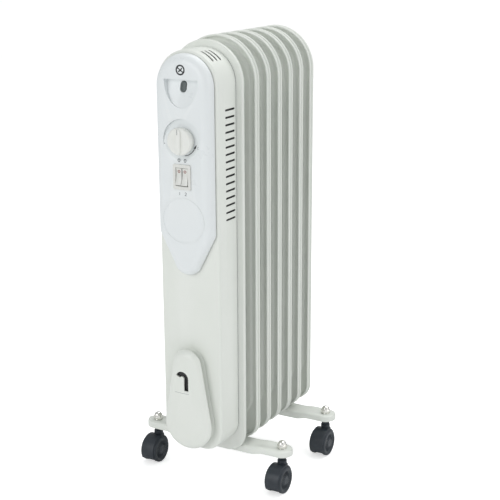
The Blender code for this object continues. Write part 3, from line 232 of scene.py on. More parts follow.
def smoked_lens():
    """Dark grey lens with a satin skin over fine facets."""
    finish = Finish("smoked lens", (0.08, 0.088, 0.09), 0.32, ior=1.45)
    finish.mottle(500.0, (0.070, 0.086, 0.086), (0.105, 0.125, 0.125))
    finish.gloss_change(600.0, 0.26, 0.38).bump(700.0, 0.00003, 0.2)
    return finish.material


def print_ink(name, colour):
    """Pad-printed ink: thin, slightly uneven."""
    finish = Finish(name, colour, 0.55)
    dark = tuple(0.85 * c for c in colour)
    light = tuple(min(1.0, 1.2 * c + 0.01) for c in colour)
    finish.mottle(900.0, dark, light).gloss_change(900.0, 0.45, 0.65).bump(4000.0, 0.000006, 0.3)
    return finish.material


POWDER = powder_coat()
PANEL = panel_plastic()
KNOB = knob_plastic()
ROCKER = rocker_plastic()
NYLON = castor_nylon()
TREAD = tread_rubber()
CHROME = chrome()
ZINC = zinc()
BRASS = warm_metal("brass", (0.50, 0.38, 0.18), (0.74, 0.58, 0.30))
COPPER = warm_metal("copper sheath", (0.48, 0.25, 0.16), (0.74, 0.43, 0.29))
BLACK = inner_black()
LENS = smoked_lens()
INK = print_ink("dark ink", (0.020, 0.022, 0.024))
# Pale ink for the printed figures and lines; it also paints the shade in the crease between the box's side
# and its rim.
PALE_INK_AND_SHADE = print_ink("pale ink and painted shade", (0.20, 0.22, 0.23))
RED_INK = print_ink("red ink", (0.26, 0.07, 0.05))


# ---- Mesh helpers -------------------------------------------------------------------------------

def piece(name, data, finish, body="frame", stands_for=()):
    """A finished piece, in the row frame, riding on a body."""
    obj = bpy.data.objects.new(name, data)
    bpy.context.scene.collection.objects.link(obj)
    data.materials.clear()
    data.materials.append(finish)
    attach(obj, body)
    if stands_for:
        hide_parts(*stands_for)
    return obj


def smooth_data(bm, name, sharp=40.0, recalculate=True):
    if recalculate:
        bmesh.ops.recalc_face_normals(bm, faces=bm.faces)
    data = bpy.data.meshes.new(name)
    bm.to_mesh(data)
    bm.free()
    data.shade_smooth()
    data.set_sharp_from_angle(angle=math.radians(sharp))
    return data


def baked(data, setup, name=None):
    """The mesh after the modifiers that `setup` adds to an object made from it."""
    helper = bpy.data.objects.new(name or data.name, data)
    bpy.context.scene.collection.objects.link(helper)
    setup(helper)
    bpy.context.view_layer.update()
    evaluated = helper.evaluated_get(bpy.context.evaluated_depsgraph_get())
    result = bpy.data.meshes.new_from_object(evaluated)
    bpy.data.objects.remove(helper, do_unlink=True)
    return result


def cut(data, *cutters, union=False):
    """The mesh with other meshes cut out of it, or joined to it."""
    helpers = []

    def setup(obj):
        for other in cutters:
            helper = bpy.data.objects.new("cutter", other)
            bpy.context.scene.collection.objects.link(helper)
            helpers.append(helper)
            modifier = obj.modifiers.new("boolean", "BOOLEAN")
            modifier.operation = "UNION" if union else "DIFFERENCE"
            modifier.object = helper
            modifier.solver = "EXACT"

    result = baked(data, setup)
    for helper in helpers:
        bpy.data.objects.remove(helper, do_unlink=True)
    return result


def eased(data, width, segments=2, angle=34.0, sharp=40.0):
    """Sharp edges rounded over by a small bevel."""
    def setup(obj):
        weld = obj.modifiers.new("weld", "WELD")
        weld.merge_threshold = 0.000002
        bevel = obj.modifiers.new("ease", "BEVEL")
        bevel.width = width
        bevel.segments = segments
        bevel.limit_method = "ANGLE"
        bevel.angle_limit = math.radians(angle)
        bevel.use_clamp_overlap = True
        bevel.harden_normals = False
    result = baked(data, setup)
    result.shade_smooth()
    result.set_sharp_from_angle(angle=math.radians(sharp))
    return result


def shelled(data, thickness):
    def setup(obj):
        sheet = obj.modifiers.new("sheet", "SOLIDIFY")
        sheet.thickness = thickness
        sheet.offset = -1.0
        sheet.use_even_offset = True
    return baked(data, setup)


def hull_outline(circles, inset=0.0):
    """Counter-clockwise outline round circles (across, up, radius, steps), joined by their tangents."""
    normals = []
    for (x0, z0, r0, _), (x1, z1, r1, _) in zip(circles, circles[1:] + circles[:1]):
        distance = math.hypot(x1 - x0, z1 - z0)
        normals.append(math.atan2(z1 - z0, x1 - x0) - math.pi / 2 + math.asin((r0 - r1) / distance))
    points = []
    for place, (x, z, radius, steps) in enumerate(circles):
        start = normals[place - 1]
        sweep = (normals[place] - start) % (2 * math.pi)
        for step in range(steps + 1):
            angle = start + sweep * step / steps
            points.append((x + (radius - inset) * math.cos(angle), z + (radius - inset) * math.sin(angle)))
    return points


def arch(half, bottom, corner, inset=0.0):
    """Half round at the top, round corners at the bottom, with points along its straight sides."""
    across = half - corner
    return hull_outline([(0.0, ARCH_Z, half, 48), (-across, bottom + corner, corner, 12),
                         (across, bottom + corner, corner, 12)], inset)


def loft(name, sections, cap_front=False, cap_back=False, sharp=40.0):
    """Skins outlines of equal length, each given as (outline, y), from the front of the piece to its back."""
    bm = bmesh.new()
    loops = [[bm.verts.new((x, y, z)) for x, z in outline] for outline, y in sections]
    for near, far in zip(loops, loops[1:]):
        for i in range(len(near)):
            j = (i + 1) % len(near)
            bm.faces.new((near[i], far[i], far[j], near[j]))
    if cap_front:
        bm.faces.new(loops[0])
    if cap_back:
        bm.faces.new(reversed(loops[-1]))
    return smooth_data(bm, name, sharp, recalculate=cap_front and cap_back)


def prism(name, outline, y_front, y_back):
    return loft(name, [(outline, y_front), (outline, y_back)], cap_front=True, cap_back=True)


def cylinder(name, radius, length, centre, axis="Y", steps=64, tip=None):
    bm = bmesh.new()
    turn = {"X": Matrix.Rotation(math.radians(90), 4, "Y"),
            "Y": Matrix.Rotation(math.radians(-90), 4, "X"),
            "Z": Matrix.Identity(4)}[axis]
    bmesh.ops.create_cone(bm, cap_ends=True, segments=steps, radius1=radius,
                          radius2=radius if tip is None else tip,
                          depth=length, matrix=Matrix.Translation(centre) @ turn)
    return smooth_data(bm, name)


def block(name, size, centre):
    bm = bmesh.new()
    bmesh.ops.create_cube(bm, size=1.0, matrix=Matrix.Translation(centre) @ Matrix.Diagonal((*size, 1.0)))
    return smooth_data(bm, name)


def turned(name, profile, centre, axis="Z", steps=64, sharp=40.0, closed=False):
    """A profile of (radius, height) points swept round an axis."""
    bm = bmesh.new()
    rows = []
    for radius, height in profile:
        if radius < 1e-9:
            rows.append([bm.verts.new((0, 0, height))])
        else:
            rows.append([bm.verts.new((radius * math.cos(2 * math.pi * i / steps),
                                       radius * math.sin(2 * math.pi * i / steps),
                                       height)) for i in range(steps)])
    pairs = list(zip(rows, rows[1:] + rows[:1])) if closed else list(zip(rows, rows[1:]))
    for near, far in pairs:
        for i in range(steps):
            j = (i + 1) % steps
            corners = [near[i % len(near)], near[j % len(near)], far[j % len(far)], far[i % len(far)]]
            bm.faces.new(list(dict.fromkeys(corners)))
    turn = {"X": Matrix.Rotation(math.radians(90), 4, "Y"), "Y": Matrix.Rotation(math.radians(90), 4, "X"),
            "Z": Matrix.Identity(4)}[axis]
    bmesh.ops.transform(bm, matrix=Matrix.Translation(centre) @ turn, verts=bm.verts)
    return smooth_data(bm, name, sharp)


def tube(name, points, radius, cyclic=False, resolution=4):
    """A round bar along points, with closed ends."""
    curve = bpy.data.curves.new(name, "CURVE")
    curve.dimensions = "3D"
    curve.bevel_depth = radius
    curve.bevel_resolution = resolution
    curve.use_fill_caps = not cyclic
    spline = curve.splines.new("POLY")
    spline.points.add(len(points) - 1)
    for point, place in zip(spline.points, points):
        point.co = (*place, 1.0)
    spline.use_cyclic_u = cyclic
    helper = bpy.data.objects.new(name, curve)
    bpy.context.scene.collection.objects.link(helper)
    bpy.context.view_layer.update()
    data = bpy.data.meshes.new_from_object(helper.evaluated_get(bpy.context.evaluated_depsgraph_get()))
    bpy.data.objects.remove(helper, do_unlink=True)
    data.shade_smooth()
    data.set_sharp_from_angle(angle=math.radians(50))
    return data


def joined(name, meshes, sharp=40.0):
    bm = bmesh.new()
    for data in meshes:
        bm.from_mesh(data)
    made = bpy.data.meshes.new(name)
    bm.to_mesh(made)
    bm.free()
    made.shade_smooth()
    made.set_sharp_from_angle(angle=math.radians(sharp))
    return made


def placed(data, matrix, name=None):
    copy = data.copy()
    copy.transform(matrix)
    copy.name = name or data.name
    return copy


def quarter(radius, steps, start=0.0, end=90.0):
    """(inset from the outer edge, depth) along a rounded edge, in equal turns."""
    angles = [math.radians(start + (end - start) * i / steps) for i in range(steps + 1)]
    return [(radius * (1 - math.sin(a)), radius * (1 - math.cos(a))) for a in angles]


# ---- Fins ---------------------------------------------------------------------------------------

def roll_sections(outline_at, roll, side):
    """One side of a fin's T-shaped edge: from the web, round the bead, to the channel between the beads."""
    bead = 0.6 * roll
    sections = [(outline_at(2.1 * bead), side * 1.2 * MM)]
    for step in range(12):
        angle = math.radians(172 - 240 * step / 11)
        sections.append((outline_at(bead * (1 - math.cos(angle))),
                         side * (2 * roll - bead * (1 - math.sin(angle)))))
    sections.append((outline_at(1.35 * bead), side * 0.62 * roll))
    return sections


def fin_data(name, node, middle, front_reach, back_reach):
    """A fin about y = 0: two rolled edges, welded web, embossed oil channel and stepped header collars."""
    low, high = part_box(node)
    half, bottom = high.x, low.z
    full_half, full_bottom = FIN_HIGH.x, FIN_LOW.z
    roll = 2.72 * MM if node != "fin_1" else 1.93 * MM
    corner = 25 * MM - (full_half - half)
    web, proud = 0.8 * MM, 3.1 * MM
    channel_half = min(full_half - 10.5 * MM, half - 2 * roll - 2.6 * MM)

    def edge(inset):
        return arch(half, bottom, corner, inset)

    def channel(grow):
        return arch(channel_half, full_bottom + 28 * MM, 34 * MM, -grow)

    front = [(channel(-14 * MM), -proud), (channel(-1.4 * MM), -proud),
             (channel(-0.5 * MM), -proud + 0.3 * MM),
             (channel(0.4 * MM), -proud + 1.0 * MM), (channel(1.2 * MM), -web - 0.4 * MM),
             (channel(1.9 * MM), -web)]
    near = front + [(outline, y) for outline, y in roll_sections(edge, roll, -1)]
    groove = [(edge(0.84 * roll), 0.0)]
    far = [(outline, -y) for outline, y in reversed(near)]
    sheet = loft(name, near + groove + far, cap_front=True, cap_back=True, sharp=50)
    collars = []
    for height in (header_height("header_plug_rear_lower"), header_height("header_plug_rear_upper")):
        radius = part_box("header_plug_front")[1].x
        for side, reach in ((-1, front_reach), (1, back_reach)):
            start = proud - 0.6 * MM
            steps = [(0.0, start), (radius + 5.0 * MM, start), (radius + 4.2 * MM, start + 0.9 * MM),
                     (radius + 1.6 * MM, start + 1.7 * MM), (radius + 0.2 * MM, start + 3.0 * MM),
                     (radius - 0.1 * MM, min(reach - 1.0 * MM, start + 5.0 * MM)),
                     (radius - 0.1 * MM, reach - 0.8 * MM),
                     (radius - 0.6 * MM, reach), (0.0, reach)]
            if reach < start + 5 * MM:
                steps = [(0.0, start), (radius + 1.5 * MM, start), (radius + 0.8 * MM, reach - 0.5 * MM),
                         (radius + 0.1 * MM, reach), (0.0, reach)]
            collar = turned("collar", steps, (0, 0, 0), axis="Y", steps=48)
            turn = Matrix.Rotation(math.pi if side > 0 else 0.0, 4, "Z")
            collars.append(placed(collar, Matrix.Translation((0, 0, height)) @ turn))
    made = joined(name, [sheet] + collars, sharp=50)
    return placed(made, Matrix.Translation((0, middle, 0)), name)


def header_height(node):
    low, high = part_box(node)
    return (low.z + high.z) / 2


def fin_middle(number):
    """Middle plane of a fin, from its box: its collars reach half a pitch to either side."""
    low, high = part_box(f"fin_{number}")
    if number == 1:
        return BOX_LOW.y + 51.5 * MM
    if number == FIN_COUNT:
        return high.y - 5.5 * MM if high.y - low.y < 20 * MM else low.y + FIN_REACH
    return (low.y + high.y) / 2


FIN_COUNT = sum(name.startswith("fin_") for name in frame["nodes"])
FIN_REACH = (FIN_HIGH.y - FIN_LOW.y) / 2


def make_fins():
    for number in range(1, FIN_COUNT + 1):
        low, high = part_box(f"fin_{number}")
        middle = fin_middle(number)
        data = fin_data(f"fin_{number}_sheet", f"fin_{number}", middle, middle - low.y,
                        high.y - middle if number < FIN_COUNT else 4.6 * MM)
        piece(f"fin_{number}_sheet", data, POWDER, stands_for=[f"fin_{number}"])
        make_weld_marks(number, middle)


def make_weld_marks(number, middle):
    """Shallow spot-weld dimples along the web, between the channel and the rolled edge."""
    half = FIN_HIGH.x - 7.6 * MM
    if number == 1:
        return
    marks = []
    for side in (-1, 1):
        for row in range(12):
            height = FIN_LOW.z + (60 + 38 * row) * MM
            for face in (-1, 1):
                dimple = turned("dimple", [(0.0, 0.10 * MM), (0.9 * MM, 0.12 * MM), (1.3 * MM, 0.25 * MM),
                                           (1.7 * MM, 0.0), (0.0, -0.1 * MM)], (0, 0, 0), axis="Y", steps=12)
                turn = Matrix.Rotation(math.pi if face > 0 else 0.0, 4, "Z")
                marks.append(placed(dimple,
                                    Matrix.Translation((side * half, middle + face * 0.8 * MM,
                                                        height)) @ turn))
    piece(f"fin_{number}_welds", joined(f"fin_{number}_welds", marks), POWDER)


def make_headers():
    for node in ("header_plug_front", "header_plug_rear_upper", "header_plug_rear_lower"):
        low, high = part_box(node)
        centre = ((low + high) / 2).z
        rear = "rear" in node
        radius = high.x
        face = high.y if rear else low.y
        back = low.y if rear else high.y
        side = 1 if rear else -1
        depth = abs(face - back)
        profile = [(0.0, depth - 0.5 * MM), (0.34 * radius, depth - 0.5 * MM),
                   (0.38 * radius, depth - 0.9 * MM),
                   (0.52 * radius, depth - 0.9 * MM), (0.56 * radius, depth - 0.4 * MM),
                   (0.90 * radius, depth - 0.3 * MM),
                   (0.97 * radius, depth - 0.7 * MM), (radius, depth - 1.3 * MM), (radius, 0.4 * depth),
                   (0.7 * radius, 0.3 * depth), (0.7 * radius, 0.0), (0.0, 0.0)]
        data = turned(node, profile, (0, 0, 0), axis="Y", steps=48)
        turn = Matrix.Rotation(math.pi if side > 0 else 0.0, 4, "Z")
        data = placed(data, Matrix.Translation((0, back, centre)) @ turn, f"{node}_disc")
        piece(f"{node}_disc", data, POWDER, stands_for=[node])


# ---- Control box --------------------------------------------------------------------------------

def box_half():
    """Half width of the box itself, inside its rim: the panel's half width and the margin round it."""
    return PANEL_HIGH.x + 4.0 * MM


def rim_face():
    return BOX_HIGH.y - 3.6 * MM


def slot_outline(half_length, half_height, steps=6):
    """A slot with round ends, as (along, up)."""
    straight = half_length - half_height
    points = []
    for side, start in ((1, -90), (-1, 90)):
        for i in range(steps + 1):
            angle = math.radians(start + 180 * i / steps)
            points.append((side * straight + half_height * math.cos(angle), half_height * math.sin(angle)))
    return points


def side_slots():
    """Cutters right across the box, one for each row, with round ends."""
    middle = rim_face() - 5.0 * MM - 11.0 * MM
    cutters = []
    for row in range(16):
        height = SLOT_TOP_Z - row * SLOT_STEP
        cutter = prism("slot", slot_outline(11.9 * MM, 1.4 * MM), -60 * MM, 60 * MM)
        turn = Matrix.Rotation(math.radians(90), 4, "Z")
        cutters.append(placed(cutter, Matrix.Translation((0, middle, height)) @ turn))
    return joined("side slots", cutters)


def top_slots():
    """Cutters along the arch, three on each side of its crown."""
    cutters = []
    half = box_half()
    for side in (-1, 1):
        for row in range(3):
            y = BOX_LOW.y + (12 + 9 * row) * MM
            bm = bmesh.new()
            outline = slot_outline(11.4 * MM, 1.9 * MM)
            loops = []
            for radius in (half - 4 * MM, half + 3 * MM):
                loop = []
                for along, across in outline:
                    angle = math.radians(90) - side * (math.radians(32.5) + along / half)
                    loop.append(bm.verts.new((radius * math.cos(angle), y + across,
                                              ARCH_Z + radius * math.sin(angle))))
                loops.append(loop)
            for i in range(len(outline)):
                j = (i + 1) % len(outline)
                bm.faces.new((loops[0][i], loops[0][j], loops[1][j], loops[1][i]))
            bm.faces.new(loops[0])
            bm.faces.new(loops[1])
            cutters.append(smooth_data(bm, "top slot"))
    return joined("top slots", cutters)


def make_control_box():
    half, bottom, corner, edge = box_half(), BOX_BOTTOM, BOX_CORNER, 3.6 * MM
    rim_half, rim_bottom, rim_corner = BOX_HIGH.x, BOX_LOW.z, 29 * MM
    face, rim, back = BOX_LOW.y, rim_face(), BOX_HIGH.y
    sections = [(arch(half, bottom, corner, inset), face + depth) for inset, depth in quarter(edge, 7)]
    sections += [(arch(half, bottom, corner), face + (rim - face) * share) for share in (0.3, 0.55, 0.8)]
    sections += [(arch(half, bottom, corner), rim - 1.3 * MM),
                 (arch(half, bottom, corner, 0.8 * MM), rim - 1.2 * MM),
                 (arch(half, bottom, corner, 0.8 * MM), rim - 0.05 * MM)]
    sections += [(arch(rim_half, rim_bottom, rim_corner, inset), rim + depth) for inset,
                 depth in quarter(2.2 * MM, 6)]
    sections.append((arch(rim_half, rim_bottom, rim_corner), back))
    shell = shelled(loft("control_box", sections, cap_front=True), 1.0 * MM)
    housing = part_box("switch_housing")
    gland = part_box("cord_gland")
    knob = JOINTS["thermostat_turn"]["pos_m"]
    cutters = [side_slots(), top_slots(),
               cylinder("bushing hole", 6.5 * MM, 8 * MM, (0, face, knob[2])),
               block("switch hole", (23.4 * MM, 8 * MM, 28.8 * MM),
                     (0, face, (housing[0].z + housing[1].z) / 2)),
               cylinder("gland hole", gland[1].x - 2.6 * MM, 8 * MM,
                        (0, (gland[0].y + gland[1].y) / 2, bottom), axis="Z")]
    shell = eased(cut(shell, *cutters), 0.22 * MM, segments=2, angle=45)
    piece("control_box_shell", shell, POWDER, stands_for=["control_box"])


def make_box_seam():
    """The dark line where the box's side meets its rim: painted shade in the crease, in the pale ink."""
    half, bottom, corner = box_half(), BOX_BOTTOM, BOX_CORNER
    sections = [(arch(half, bottom, corner, 0.35 * MM), rim_face() - 1.15 * MM),
                (arch(half, bottom, corner, 0.35 * MM), rim_face() - 0.1 * MM)]
    piece("control_box_crease_shade", shelled(loft("control_box_crease_shade", sections), 0.3 * MM), PALE_INK_AND_SHADE)


def make_slot_shade():
    """A dark sheet just inside the box, behind its slots: painted shade that makes the slots read dark."""
    half, bottom, corner = box_half(), BOX_BOTTOM, BOX_CORNER
    sections = [(arch(half, bottom, corner, 1.7 * MM), BOX_LOW.y + 5 * MM),
                (arch(half, bottom, corner, 1.7 * MM), rim_face())]
    slot_shade_sheet = shelled(loft("slot_shade_sheet", sections), 0.4 * MM)
    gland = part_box("cord_gland")
    hole = cylinder("gland hole", gland[1].x + 1.0 * MM, 30 * MM, (0, (gland[0].y + gland[1].y) / 2, bottom),
                    axis="Z")
    piece("slot_painted_shade", cut(slot_shade_sheet, hole), BLACK)


# ---- Control panel ------------------------------------------------------------------------------

PANEL_FACE_Y = PANEL_LOW.y
PANEL_BACK_Y = PANEL_HIGH.y
KNOB_Z = JOINTS["thermostat_turn"]["pos_m"][2]
SWITCH_Z = JOINTS["rocker_left_tilt"]["pos_m"][2]
LENS_LOW, LENS_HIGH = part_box("pilot_lens")
SCOOP_TOP = LENS_HIGH.z + 2.4 * MM
SCOOP_HEIGHT = 36 * MM
SCOOP_HALF = 25 * MM
DISH_R = 27.8 * MM
DISH_Y = JOINTS["thermostat_turn"]["pos_m"][1] + 0.3 * MM
DISH_FLAT_R = 19 * MM
SEAM = 1.2 * MM


def panel_outline(inset=0.0):
    half, tip_z = PANEL_HIGH.x, PANEL_LOW.z + 20 * MM
    return hull_outline([(0.0, ARCH_Z, half, 64), (-(half - 15 * MM), SHOULDER_Z, 15 * MM, 14),
                         (0.0, tip_z, 20 * MM, 26), (half - 15 * MM, SHOULDER_Z, 15 * MM, 14)], inset)


def panel_crown(share):
    """Height over the panel's edge, as a share of its crown, for a share of the way in to its flat face."""
    return (1 - (1 - share) ** 2.6) ** (1 / 1.9)


def scoop_floor(z):
    """Depth of the scoop's sloping floor behind the panel's face."""
    share = (z - (SCOOP_TOP - SCOOP_HEIGHT)) / SCOOP_HEIGHT
    return PANEL_FACE_Y + (1.3 + max(share, -0.1) * 8.1) * MM


def scoop_cutter():
    outline = [(SCOOP_HALF * math.cos(math.radians(180 + 180 * i / 40)),
                SCOOP_TOP + SCOOP_HEIGHT * math.sin(math.radians(180 + 180 * i / 40))) for i in range(41)]
    data = prism("scoop", outline, PANEL_FACE_Y - 10 * MM, PANEL_FACE_Y)
    for vertex in data.vertices:
        if vertex.co.y > PANEL_FACE_Y - 5 * MM:
            vertex.co.y = scoop_floor(vertex.co.z)
    return data


def dish_level(x, z):
    """Floor of the dish: flat round the knob, then rising to the panel's face below and beside it."""
    turn = (abs(math.atan2(x, z - KNOB_Z)) - 1.0) / 1.1
    turn = min(max(turn, 0.0), 1.0)
    out = min(max((math.hypot(x, z - KNOB_Z) - DISH_FLAT_R) / (DISH_R - DISH_FLAT_R), 0.0), 1.0)
    out = out * out * (3 - 2 * out)
    return DISH_Y + (PANEL_FACE_Y - DISH_Y) * 1.04 * out * turn * turn * (3 - 2 * turn)


def dish_cutter():
    bm = bmesh.new()
    middle = bm.verts.new((0, DISH_Y, KNOB_Z))
    rings = []
    for radius in [DISH_FLAT_R + (DISH_R - DISH_FLAT_R) * i / 10 for i in range(11)]:
        points = arc_line(0, KNOB_Z, radius, 0, 360, 96)[:-1]
        rings.append([bm.verts.new((x, dish_level(x, z), z)) for x, z in points])
    rings.append([bm.verts.new((vertex.co.x, PANEL_FACE_Y - 10 * MM, vertex.co.z)) for vertex in rings[-1]])
    for near, far in zip(rings, rings[1:]):
        for i in range(96):
            bm.faces.new((near[i], near[(i + 1) % 96], far[(i + 1) % 96], far[i]))
    for i in range(96):
        bm.faces.new((middle, rings[0][i], rings[0][(i + 1) % 96]))
    bm.faces.new(rings[-1])
    return smooth_data(bm, "dish")


def make_control_panel():
    crown = PANEL_BACK_Y - SEAM - PANEL_FACE_Y
    reach = PANEL_ROUND
    shares = [0.0, 0.012, 0.04, 0.08, 0.14, 0.21, 0.30, 0.40, 0.52, 0.66, 0.82, 1.0]
    sections = [(panel_outline(reach * share), PANEL_BACK_Y - SEAM - crown * panel_crown(share))
                for share in reversed(shares)]
    sections += [(panel_outline(2.0 * MM), PANEL_BACK_Y - SEAM + 0.1 * MM),
                 (panel_outline(2.0 * MM), PANEL_BACK_Y)]
    solid = loft("control_panel", sections, cap_front=True, cap_back=True)
    wall = 2.4 * MM
    inner = [(panel_outline(reach * share + 2 * wall), PANEL_BACK_Y - crown * panel_crown(share) + wall)
             for share in (1.0, 0.6, 0.2, 0.0)]
    inner.append((panel_outline(2 * wall), PANEL_BACK_Y + 3 * wall))
    hollow = loft("hollow", inner, cap_front=True, cap_back=True)
    liners = [cylinder("liner", DISH_R + wall, 8 * MM, (0, DISH_Y - 4 * MM + wall, KNOB_Z)),
              block("liner", (2 * SCOOP_HALF + 4 * MM, 30 * MM, SCOOP_HEIGHT + 5 * MM),
                    (0, PANEL_FACE_Y - 1.0 * MM, SCOOP_TOP - SCOOP_HEIGHT / 2))]
    hollow = cut(hollow, *liners)
    body_half = 11.9 * MM
    cutters = [hollow, dish_cutter(), scoop_cutter(),
               cylinder("bush hole", 6.4 * MM, 60 * MM, (0, PANEL_BACK_Y, KNOB_Z), steps=40),
               block("switch hole", (2 * body_half, 60 * MM, 28.8 * MM), (0, PANEL_BACK_Y, SWITCH_Z)),
               prism("lens hole", lens_outline(0.35 * MM), PANEL_FACE_Y - 2 * MM, PANEL_BACK_Y + 5 * MM)]
    shell = cut(solid, *cutters)
    shell = eased(shell, 0.7 * MM, segments=3, angle=38, sharp=50)
    piece("control_panel_moulding", shell, PANEL, stands_for=["control_panel"])
    # A black ring in the setback round the panel's back edge: painted shade in the seam between the panel and
    # the box.
    ring = cut(prism("seam_shade_ring", panel_outline(1.0 * MM), PANEL_BACK_Y - SEAM + 0.15 * MM, PANEL_BACK_Y),
               prism("middle", panel_outline(1.95 * MM), PANEL_BACK_Y - 5 * MM, PANEL_BACK_Y + 5 * MM))
    piece("control_panel_seam_shade", ring, BLACK)


def lens_outline(grow):
    radius = LENS_HIGH.x
    return hull_outline([(0.0, LENS_HIGH.z - radius, radius, 16), (0.0, LENS_LOW.z + radius, radius, 16)],
                        -grow)


def make_lens():
    """A domed lens, parallel to the scoop's floor."""
    sections = []
    for inset, depth in quarter(1.5 * MM, 5):
        sections.append((lens_outline(-inset), depth))
    sections.append((lens_outline(0.0), 7 * MM))
    data = loft("pilot_lens", sections, cap_front=True, cap_back=True)
    for vertex in data.vertices:
        vertex.co.y = min(scoop_floor(vertex.co.z) - 0.7 * MM + vertex.co.y, PANEL_BACK_Y - 0.2 * MM)
    piece("pilot_lens_dome", data, LENS, stands_for=["pilot_lens"])


# ---- Printed marks ------------------------------------------------------------------------------

def ribbon(name, points, width, y, thick=0.05 * MM, taper=1.0):
    """A flat printed line along (x, z) points, whose width changes evenly to `taper` times at its end."""
    bm = bmesh.new()
    rows = []
    for i, (x, z) in enumerate(points):
        before, after = points[max(i - 1, 0)], points[min(i + 1, len(points) - 1)]
        along = Vector((after[0] - before[0], after[1] - before[1])).normalized()
        across = Vector((-along.y, along.x)) * width / 2 * (1 + (taper - 1) * i / (len(points) - 1))
        level = y(x, z) if callable(y) else y
        rows.append([bm.verts.new((x + s * across.x, level - d, z + s * across.y))
                     for s, d in ((-1, 0.0), (1, 0.0), (1, thick), (-1, thick))])
    for near, far in zip(rows, rows[1:]):
        for i in range(4):
            bm.faces.new((near[i], near[(i + 1) % 4], far[(i + 1) % 4], far[i]))
    bm.faces.new(rows[0])
    bm.faces.new(rows[-1])
    return smooth_data(bm, name)


def arc_line(x, z, radius, start, end, steps=32, squeeze=1.0):
    return [(x + radius * math.cos(math.radians(start + (end - start) * i / steps)),
             z + squeeze * radius * math.sin(math.radians(start + (end - start) * i / steps)))
            for i in range(steps + 1)]


def make_prints():
    face = PANEL_FACE_Y - 0.02 * MM

    def dish(x, z):
        return max(dish_level(x, z), PANEL_FACE_Y) - 0.02 * MM

    symbol_z = SCOOP_TOP + 12.0 * MM
    marks = [ribbon("symbol ring", arc_line(0, symbol_z, 5.7 * MM, 0, 360, 48), 2.0 * MM, face),
             ribbon("symbol bar", [(-4.6 * MM, symbol_z + 3.2 * MM), (4.6 * MM, symbol_z - 3.2 * MM)],
                    1.5 * MM, face),
             ribbon("symbol wave", [(-2.9 * MM, symbol_z - 2.2 * MM), (0.4 * MM, symbol_z - 0.4 * MM),
                                    (2.6 * MM, symbol_z + 2.6 * MM)], 1.7 * MM, face)]
    piece("panel_symbol", joined("panel_symbol", marks), INK)
    sweep = ribbon("sweep", arc_line(0, KNOB_Z, 19.6 * MM, -84, -30), 0.8 * MM, dish, taper=2.2)
    tip, radius = math.radians(-12), 20.6 * MM
    arrow = [(radius * math.cos(tip - 0.27), KNOB_Z + radius * math.sin(tip - 0.27)),
             (radius * math.cos(tip), KNOB_Z + radius * math.sin(tip))]
    head = ribbon("head", arrow, 5.6 * MM, dish, taper=0.05)
    low = ribbon("low dot", [(-28.4 * MM, KNOB_Z - 5.4 * MM), (-25.8 * MM, KNOB_Z - 5.4 * MM)], 1.3 * MM,
                 dish)
    piece("thermostat_scale", joined("thermostat_scale", [sweep, head, low]), INK)
    high = ribbon("high mark", arc_line(24.0 * MM, KNOB_Z - 7.5 * MM, 1.5 * MM, 60, 300, 12), 0.5 * MM, dish)
    figures = [high]
    for side in (-1, 1):
        x = side * 4.6 * MM
        figures.append(ribbon("nought", arc_line(x, SWITCH_Z + 21.5 * MM, 1.5 * MM, 0, 360, 24, 1.35),
                              0.95 * MM, face))
    figures.append(ribbon("one", [(-4.6 * MM, SWITCH_Z - 24.0 * MM), (-4.6 * MM, SWITCH_Z - 20.2 * MM)],
                          0.7 * MM, face))
    x, z = 4.6 * MM, SWITCH_Z - 20.2 * MM
    two = arc_line(x, z - 1.0 * MM, 1.1 * MM, 170, -30, 10) + [(x - 1.2 * MM, z - 3.7 * MM)]
    figures.append(ribbon("two", two, 0.6 * MM, face))
    figures.append(ribbon("two foot", [(x - 1.4 * MM, z - 3.8 * MM), (x + 1.4 * MM, z - 3.8 * MM)], 0.6 * MM,
                          face))
    piece("switch_figures", joined("switch_figures", figures), PALE_INK_AND_SHADE)
    oval = [(31 * MM * math.cos(a), 389 * MM + 30 * MM * math.sin(a))
            for a in (2 * math.pi * i / 96 for i in range(97))]
    piece("panel_oval", ribbon("panel_oval", oval, 1.1 * MM, lambda x, z: face_level(x, z) - 0.16 * MM,
                               0.3 * MM), PANEL)


def face_level(x, z):
    """Front of the panel at a point: flat in the middle, falling over its rounded edge."""
    half = PANEL_HIGH.x
    width = half if z > SHOULDER_Z else half - (SHOULDER_Z - z) * 0.53
    share = min(max((width - abs(x)) / PANEL_ROUND, 0.0), 1.0)
    return PANEL_BACK_Y - SEAM - (PANEL_BACK_Y - SEAM - PANEL_FACE_Y) * panel_crown(share)


# ---- Thermostat knob and switch -----------------------------------------------------------------

